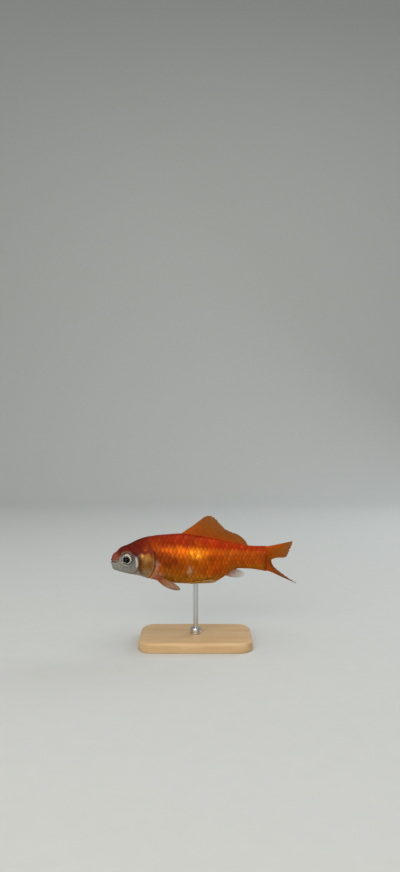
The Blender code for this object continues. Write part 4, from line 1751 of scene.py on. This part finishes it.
@dataclass(frozen=True)
class SweptRays:
    """Rays that leave the root straight back and bend to their own pitch and yaw.

    Each row of marks holds a share, a length, a pitch and a yaw in degrees. A ray has its full heading
    past the share settle of its length, and start is the share of the pitch that it leaves with.
    """

    root: RootLine
    marks: Rows
    settle: float
    start: float
    mirrored: bool = False
    pitch_factor: float = 1.0
    steps: int = 60

    def __call__(self, share: Array, out: Array) -> Array:
        """Sums short steps along each ray, whose heading eases in, and reads the sum at each point.

        Args:
            share: Place among the rays, from 0 to 1.
            out: Part of the rays' length, from root 0 to edge 1.

        Returns:
            Points in the fish's frame.
        """
        line = share[:, 0]
        length, pitch, yaw = table_at(self.marks, line, through)
        fine = np.linspace(0, 1, self.steps)
        bend = ease(fine / self.settle, 0.0, 1.0)
        heading = np.radians(yaw)[:, None] * bend
        climb = np.radians(pitch * self.pitch_factor)[:, None] * (self.start + (1 - self.start) * bend)
        level = np.cos(climb)
        step = np.stack([level * np.cos(heading), -level * np.sin(heading), np.sin(climb)], axis=-1)
        path = np.cumsum((step[:, 1:] + step[:, :-1]) / 2, axis=1) / (self.steps - 1)
        path = np.concatenate([np.zeros_like(path[:, :1]), path], axis=1) * length[:, None, None]
        place = np.clip(out * (self.steps - 1), 0, self.steps - 1.001)
        low = place.astype(int)
        part = (place - low)[..., None]
        row = np.arange(len(line))[:, None]
        points = self.root(line)[:, None, :] + path[row, low] * (1 - part) + path[row, low + 1] * part
        return points * (1, -1, 1) if self.mirrored else points


@dataclass(frozen=True)
class Fins:
    """All the fins, in the pose of a fish that turns its tail to the left."""

    gap: float = 0.33
    amber: FinPaint = FinPaint("#9c440a", "#924e0f", "#8a5622", "#90480a", 0.98, 0.86, 0.94, "#b4520c", 1.0)
    pale: FinPaint = FinPaint("#9c5438", "#b08664", "#96743e", "#945226", 0.97, 0.46, 0.76, "#96481a", 1.0)
    clear: FinPaint = FinPaint("#a06a44", "#a89a90", "#b0aca6", "#a08c80", 0.7, 0.14, 0.34)
    olive: FinPaint = FinPaint("#b07a34", "#b48c48", "#b4a074", "#a0702c", 0.85, 0.4, 0.6)
    dorsal_edge: Rows = (
        (0.0, 32.0, 11.3), (0.05, 35.4, 13.8), (0.1, 38.0, 15.8), (0.16, 39.8, 16.7), (0.24, 41.8, 16.6),
        (0.32, 43.6, 15.2), (0.42, 45.6, 13.0), (0.52, 47.2, 11.5), (0.62, 49.0, 10.4), (0.74, 51.4, 9.5),
        (0.86, 53.8, 8.1), (0.94, 55.5, 6.4), (1.0, 56.7, 4.4),
    )
    anal_edge: Rows = ((0.0, 54.2, -8.6), (0.5, 55.3, -7.7), (1.0, 54.6, -6.1))
    tail_rays: Rows = (
        (0.0, 11.9, 15.5, 32.0), (0.12, 11.2, 12.0, 35.0), (0.25, 10.0, 4.5, 41.0), (0.34, 9.2, 0.0, 50.0),
        (0.42, 5.9, 3.5, 64.0), (0.5, 3.5, 3.5, 75.0), (0.58, 3.2, 1.5, 75.0), (0.68, 4.4, -8.0, 70.0),
        (0.8, 7.4, -16.5, 48.0), (0.9, 10.0, -22.0, 25.0), (1.0, 13.4, -24.0, 4.0),
    )
    pectoral_rays: Rows = (
        (0.0, 8.8, -14.0, 18.0), (0.2, 10.2, -12.5, 23.0), (0.45, 11.2, -11.0, 28.0),
        (0.75, 10.0, -9.5, 32.0), (1.0, 7.4, -8.5, 37.0),
    )
    pelvic_rays: Rows = (
        (0.0, 8.2, 2.0, 8.0), (0.2, 10.4, 3.0, 9.0), (0.5, 10.8, 5.0, 10.0),
        (0.8, 9.4, 8.0, 12.0), (1.0, 7.6, 10.0, 13.0),
    )

    def tail_root(self, share: Array) -> Array:
        """The roots of the tail fin's rays, in an arc round the end of the tail stem."""
        along = FORM.length + self.gap + 0.4 * np.sin(np.pi * share)
        return np.stack([along, FORM.spine(along), 4.3 - 10.1 * share], axis=-1)

    def paired_root(self, first: Pair, last: Pair, off: float, least: Pair = (0.0, 0.0)) -> RootLine:
        """The root line of a paired fin on the left, a little off the flank.

        Args:
            first: Along and up of the first ray.
            last: Along and up of the last ray.
            off: Distance off the flank.
            least: Least distance of each from the middle plane.

        Returns:
            The root's point for each share of the rays.
        """
        ends = [
            (along, -max(aside, float(FORM.half_width(along, up)) + off), up)
            for (along, up), aside in zip((first, last), least)
        ]
        start, end = np.array(ends)
        return lambda share: start + (end - start) * share[:, None]

    def build(self, finish: Material) -> None:
        """Makes every fin."""
        for fin in self.median() + self.paired():
            fin.build(finish)

    def median(self) -> list[Fin]:
        """The fins of the middle plane.

        Returns:
            Dorsal, anal and tail fin.
        """
        dorsal = MedianRays((28.8, 55.3), True, self.dorsal_edge, sunk=0.3, wave=0.45, waves=1.3)
        anal = MedianRays((47.3, 51.6), False, self.anal_edge, sag=0.5)
        tail = SweptRays(self.tail_root, self.tail_rays, settle=0.25, start=0.55)
        swell = {"gather": 0.88, "root_swell": 0.4, "swell_reach": 0.1}
        lobes = ("tail_fin_upper", "tail_fin_lower")
        return [
            Fin("dorsal_web", "fin", ("dorsal_fin",), 19, dorsal, self.amber, 1.3, seed=3),
            Fin("anal_web", "pale_fin", ("anal_fin",), 8, anal, self.clear, 1.1, (0.0, 0.4), seed=4),
            Fin("tail_web", "fin", lobes, 20, tail, self.amber, 1.1, split=0.35, seed=5, **swell),
        ]

    def paired(self) -> list[Fin]:
        """The pectoral and pelvic fins of both sides. The right pectoral fin is held flatter.

        Returns:
            Four fins.
        """
        shoulder = self.paired_root((18.9, -8.6), (19.9, -7.3), 0.65)
        hip = self.paired_root((32.2, -10.9), (33.4, -10.3), 0.45, (2.4, 3.3))
        made = []
        for side in Side:
            right = side is Side.RIGHT
            held = 0.75 if right else 1.0
            chest = SweptRays(shoulder, self.pectoral_rays, 0.9, 3.6, right, pitch_factor=held)
            hips = SweptRays(hip, self.pelvic_rays, 0.9, 1.0, right)
            for word, rays, middle, paint, dip, per_ray, swell, seed in (
                ("pectoral", 15, chest, self.pale, (2.1, 0.3), 10, 0.28, 6),
                ("pelvic", 9, hips, self.olive, (1.6, 1.5), 12, 0.15, 9),
            ):
                made.append(
                    Fin(
                        f"{word}_web_{side.word}",
                        "pale_fin",
                        (f"{word}_fin_{side.word}",),
                        rays,
                        middle,
                        paint,
                        hidden=0.9,
                        dip=dip,
                        per_ray=per_ray,
                        ridge=0.12,
                        root_swell=swell,
                        seed=seed + side.value,
                        flip=right,
                        gather=0.85,
                    )
                )
        return made


# ============================== eyes


@dataclass(frozen=True)
class Eye:
    """An eye: iris, the lens that stands in its opening, and the cornea over both."""

    side: Side
    radius: float = 2.4
    depth: float = 1.5
    crown: float = 1.32
    cornea_seat: float = 0.12
    wall: float = 0.07
    aside: float = 3.05
    pupil: float = 1.42
    tilt: float = 0.22
    sides: int = 72

    def ring(self, radius: Array, out: Array) -> Array:
        """Rings of points round the eye's axis, at radii and heights off the eye's centre. The axis is
        turned a little forward, as the head narrows there.

        Args:
            radius: Each ring's radius.
            out: Each ring's distance outwards from the eye's centre.

        Returns:
            Points in the fish's frame, rings by sides.
        """
        angle = np.linspace(0, 2 * np.pi, self.sides, endpoint=False)[None, :]
        across = radius[:, None] * np.cos(angle)
        up = radius[:, None] * np.sin(angle)
        out = out[:, None] + 0 * angle
        along = across * np.cos(self.tilt) - out * np.sin(self.tilt)
        aside = out * np.cos(self.tilt) + across * np.sin(self.tilt)
        aside = self.side.value * (self.aside + aside)
        return np.stack([HEAD.eye[0] + along, aside, HEAD.eye[1] + up], axis=-1)

    def turned(
        self,
        name: str,
        radius: Array,
        out: Array,
        finish: Material,
        replaced: Sequence[str] = (),
        paint: bool = False,
    ) -> Piece:
        """A closed turned form.

        Args:
            name: The piece's name.
            radius: Radii of the profile, from 0 at the front to 0 at the back.
            out: The profile's heights off the eye's centre.
            finish: The material.
            replaced: The solids that it stands for.
            paint: Whether the piece carries the iris's colours.

        Returns:
            The piece: the profile's rings, closed by a point at each end.
        """
        rings = self.ring(radius[1:-1], out[1:-1])
        ends = self.ring(radius[[0, -1]], out[[0, -1]])[:, 0]
        faces = capped_faces(len(rings), self.sides)
        if self.side is Side.LEFT:
            faces = [face[::-1] for face in faces]
        surface = Surface(FORM.to_world(np.vstack([rings.reshape(-1, 3), ends])), faces)
        if paint:
            angle = np.linspace(0, 2 * np.pi, self.sides, endpoint=False)
            ring = np.append(np.repeat(radius[1:-1], self.sides), (0.0, 0.0))
            about = np.append(np.tile(angle, len(rings)), (0.0, 0.0))
            surface.values["markings"] = self.iris_colour(ring, about)
            drift = 1 + 0.15 * ring / self.radius
            surface.maps["OnEye"] = corner_map(drift * np.cos(about), drift * np.sin(about), faces)
        return surface.piece(name, finish, replaced)

    def iris_colour(self, radius: Array, angle: Array) -> Array:
        """Silver, a little gold close to the pupil, painted shade over the lower half, smoked along the rim.

        Args:
            radius: Distance from the eye's axis.
            angle: Angle round it.

        Returns:
            Linear colours.
        """
        silver, gold, smoke_and_shade = (np.array(linear(c)) for c in ("#868784", "#94794c", "#302824"))
        colour = mix(np.broadcast_to(silver, (*radius.shape, 3)), gold, 0.4 * bell(radius - self.pupil, 0.2))
        # painted shade: the lower half of the iris is darker
        colour = mix(colour, smoke_and_shade, 0.45 * ease(-np.sin(angle + 0.4), -0.3, 0.9))
        colour = mix(colour, smoke_and_shade, 0.4 * bell(angle - 2.1, 0.35) * ease(radius, 1.6, 2.1))
        return mix(colour, smoke_and_shade, 0.75 * ease(radius, 2.0, 2.34))

    def build(self, iris: Material, pupil: Material, cornea: Material) -> None:
        """Makes the three pieces.

        Args:
            iris: The iris's material.
            pupil: The lens's material.
            cornea: The cornea's material.
        """
        word = self.side.word
        slope = np.linspace(0, 1, 14)
        round_rear = np.linspace(np.pi / 2, np.pi, 10)[1:]
        well = [0.0, 0.6, self.pupil * 0.97]
        slant = self.pupil + (self.radius - self.pupil) * slope
        radius = np.concatenate([well, slant, self.radius * np.sin(round_rear)])
        rear = 0.2 + self.depth * np.cos(round_rear)
        out = np.concatenate([[0.45, 0.45, 0.52], 0.74 - 0.5 * slope**2, rear])
        radius[-1] = 0.0
        self.turned(f"iris_{word}", radius, out, iris, (f"eye_{word}",), paint=True)
        angle = np.linspace(0, np.pi, 17)
        self.turned(f"lens_{word}", self.pupil * np.sin(angle), 0.5 + 0.5 * np.cos(angle), pupil)
        cap = np.linspace(0, np.pi / 2, 14)
        round_rim = np.append(self.radius * np.sin(cap), (self.radius - self.wall) * np.sin(cap[::-1]))
        dome = self.crown - self.cornea_seat
        height = np.append(dome * np.cos(cap), (dome - self.wall) * np.cos(cap[::-1])) + self.cornea_seat
        self.turned(f"cornea_{word}", round_rim, height, cornea).visible_shadow = False


# ============================== stand


def box_mm(node: str) -> tuple[Array, Array]:
    """The two far corners of a solid, in millimetres of the world."""
    low, high = (np.array(corner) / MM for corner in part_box(node))
    return low, high


@dataclass(frozen=True)
class Stand:
    """The display stand: a maple base with round corners, a steel rod and the collar at its foot."""

    corner: float = 6.0
    round_over: float = 1.1
    collar_groove: float = 0.12
    sides: int = 64

    def loft(
        self, name: str, rings: Array, finish: Material, replaced: str
    ) -> Piece:
        """A closed form through level rings of points, in metres, from the lowest to the highest.

        Args:
            name: The piece's name.
            rings: Points, rings by sides.
            finish: The piece's material.
            replaced: The solid that it stands for.

        Returns:
            The piece.
        """
        count, sides = rings.shape[:2]
        faces = grid_faces(count, sides, wrap=True).tolist()
        faces.append(list(range(sides))[::-1])
        faces.append(list(range((count - 1) * sides, count * sides)))
        return Surface(rings.reshape(-1, 3), faces).piece(name, finish, (replaced,), crease=40.0)

    def base(self, finish: Material) -> None:
        """A rounded rectangle that draws in at the top by a quarter circle and at the foot by a small one.

        Args:
            finish: The piece's material.
        """
        low, high = box_mm("stand_base")
        edge, tall = self.round_over, high[2] - low[2]
        top = np.linspace(0, np.pi / 2, 9)
        inset = np.append((0.35, 0.1, 0.0), edge * (1 - np.cos(top)))[:, None]
        up = np.append((0.0, 0.1, 0.35), tall - edge * (1 - np.sin(top)))[:, None]
        quarter = np.linspace(0, np.pi / 2, 17)
        turn = np.concatenate([quarter + k * np.pi / 2 for k in range(4)])
        sign_x, sign_y = (np.repeat(signs, len(quarter)) for signs in ((1, -1, -1, 1), (1, 1, -1, -1)))
        centre, middle = (high - low)[:2] / 2 - self.corner, (low + high) / 2
        x = middle[0] + sign_x * centre[0] + (self.corner - inset) * np.cos(turn)
        y = middle[1] + sign_y * centre[1] + (self.corner - inset) * np.sin(turn)
        rings = np.stack([x, y, low[2] + up + 0 * x], axis=-1) * MM
        self.loft("base_board", rings, finish, "stand_base")

    def turned(self, node: str, name: str, profile: list[Pair], finish: Material) -> None:
        """A turned steel piece on the rod's axis: each ring is a radius at a height over the node's foot.

        Args:
            node: The solid that it stands for.
            name: The piece's name.
            profile: Pairs of radius and height.
            finish: The piece's material.
        """
        low, high = box_mm(node)
        middle = (low + high) / 2
        angle = np.linspace(0, 2 * np.pi, self.sides, endpoint=False)
        radius, up = (np.array(column)[:, None] for column in zip(*profile))
        x, y = middle[0] + radius * np.cos(angle), middle[1] + radius * np.sin(angle)
        self.loft(name, np.stack([x, y, low[2] + up + 0 * x], axis=-1) * MM, finish, node)

    def build(self, wood: Material, steel: Material) -> None:
        """Makes the three pieces of the stand.

        Args:
            wood: The base's material.
            steel: The material of rod and collar.
        """
        self.base(wood)
        low, high = box_mm("stand_rod")
        radius, tall = (high - low)[0] / 2, (high - low)[2]
        self.turned("stand_rod", "rod", [(radius, 0.0), (radius, tall - 0.3), (radius - 0.3, tall)], steel)
        low, high = box_mm("stand_collar")
        wide, tall = (high - low)[0] / 2, (high - low)[2]
        groove = wide - self.collar_groove
        profile = [(wide - 0.1, -0.3), (wide, -0.2), (wide, 0.45), (groove, 0.55), (groove, 0.7), (wide, 0.8)]
        profile += [(wide, tall - 0.5), (wide - 0.15, tall - 0.15), (wide - 0.5, tall)]
        profile += [(radius + 0.35, tall), (radius + 0.12, tall - 0.1)]
        self.turned("stand_collar", "collar", profile, steel)


# ============================== studio


@dataclass(frozen=True)
class Lamp:
    """A rectangular soft box that faces a point: its place, size, power in watts and tint."""

    name: str
    place: Place
    size: Pair
    power: float
    tint: str

    def build(self, aim: Place) -> None:
        """Hangs the lamp and turns it to face its aim.

        Args:
            aim: The point that it faces.
        """
        data = bpy.data.lights.new(self.name, "AREA")
        data.shape = "RECTANGLE"
        data.size, data.size_y = self.size
        data.energy = self.power
        data.color = linear(self.tint)
        thing = bpy.data.objects.new(self.name, data)
        thing.location = self.place
        direction = np.subtract(self.place, aim)
        pitch = np.arccos(direction[2] / np.linalg.norm(direction))
        thing.rotation_euler = (float(pitch), 0.0, float(np.arctan2(direction[1], direction[0]) + np.pi / 2))
        bpy.context.scene.collection.objects.link(thing)


@dataclass(frozen=True)
class Studio:
    """A pale seamless sweep, soft lights and the camera."""

    width: float = 3.0
    front: float = -1.0
    rear: float = 0.9
    rise: float = 0.35
    height: float = 1.6
    lens: float = 27.0
    sensor: float = 36.0
    camera_at: Place = (0.00175, -0.2716, 0.0858)
    aim: Place = (0.0, 0.0, 0.035)
    sky: str = "#e8ecee"
    sky_strength: float = 0.32
    lamps: tuple[Lamp, ...] = (
        Lamp("key", (-0.16, -0.62, 0.3), (0.7, 0.42), 3.1, "#fff4e6"),
        Lamp("top", (0.05, -0.05, 0.8), (0.9, 0.6), 3.0, "#ffffff"),
        Lamp("rim", (0.5, 0.4, 0.4), (0.3, 0.3), 1.2, "#f2f6ff"),
    )

    def sweep(self, finish: Material) -> None:
        """The floor, which turns up behind in a quarter circle.

        Args:
            finish: The piece's material.
        """
        arc = np.linspace(0, np.pi / 2, 24)
        y = np.concatenate([[self.front, 0.0], self.rear - self.rise + self.rise * np.sin(arc), [self.rear]])
        z = np.concatenate([[0.0, 0.0], self.rise * (1 - np.cos(arc)), [self.height]])
        x = np.array([-self.width / 2, self.width / 2])
        points = np.array([(a, b, c) for b, c in zip(y, z) for a in x])
        mesh = bpy.data.meshes.new("sweep")
        mesh.from_pydata(points, [], grid_faces(len(y), 2).tolist())
        mesh.shade_smooth()
        mesh.materials.append(finish)
        thing = bpy.data.objects.new("sweep", mesh)
        bpy.context.scene.collection.objects.link(thing)

    def build(self, finish: Material) -> None:
        """Sets the sweep, the lights, the sky and the camera.

        Args:
            finish: The sweep's material.
        """
        scene = bpy.context.scene
        self.sweep(finish)
        for lamp in self.lamps:
            lamp.build(self.aim)
        scene.world = bpy.data.worlds.new("soft daylight")
        scene.world.use_nodes = True
        sky = scene.world.node_tree.nodes["Background"]
        sky.inputs["Color"].default_value = (*linear(self.sky), 1.0)
        sky.inputs["Strength"].default_value = self.sky_strength
        scene.view_settings.view_transform = "Standard"
        data = bpy.data.cameras.new("camera")
        data.lens, data.sensor_width, data.clip_start = self.lens, self.sensor, 0.005
        camera = bpy.data.objects.new("camera", data)
        camera.location = self.camera_at
        camera.rotation_euler = (np.pi / 2, 0.0, 0.0)
        scene.collection.objects.link(camera)
        scene.camera = camera


# ============================== all of it


def main() -> None:
    """Builds the fish, its stand and the studio."""
    logging.basicConfig(level=logging.INFO, format="%(name)s %(message)s")
    skin = Skin(Markings())
    skin.build(WetSkin("wet fish skin", ior=1.16).material())
    scale = Scale("guanine scale", ior=1.17, tint="#ffdcc0").material()
    for side in Side:
        ScaleCoat(skin, side).build(scale)
    Fins().build(FinWeb("fin membrane", 0.42, ior=1.14).material())
    eye_finishes = Iris("iris"), Pupil("lens", 0.3, ior=1.03), Cornea("cornea", 0.0, ior=1.18)
    iris, pupil, cornea = (finish.material() for finish in eye_finishes)
    for side in Side:
        Eye(side).build(iris, pupil, cornea)
    Stand().build(OiledMaple("oiled maple").material(), SatinSteel("satin stainless steel").material())
    Studio().build(MattPaper("background paper", 0.9).material())
    bpy.context.view_layer.update()


if __name__ == "__main__":
    main()
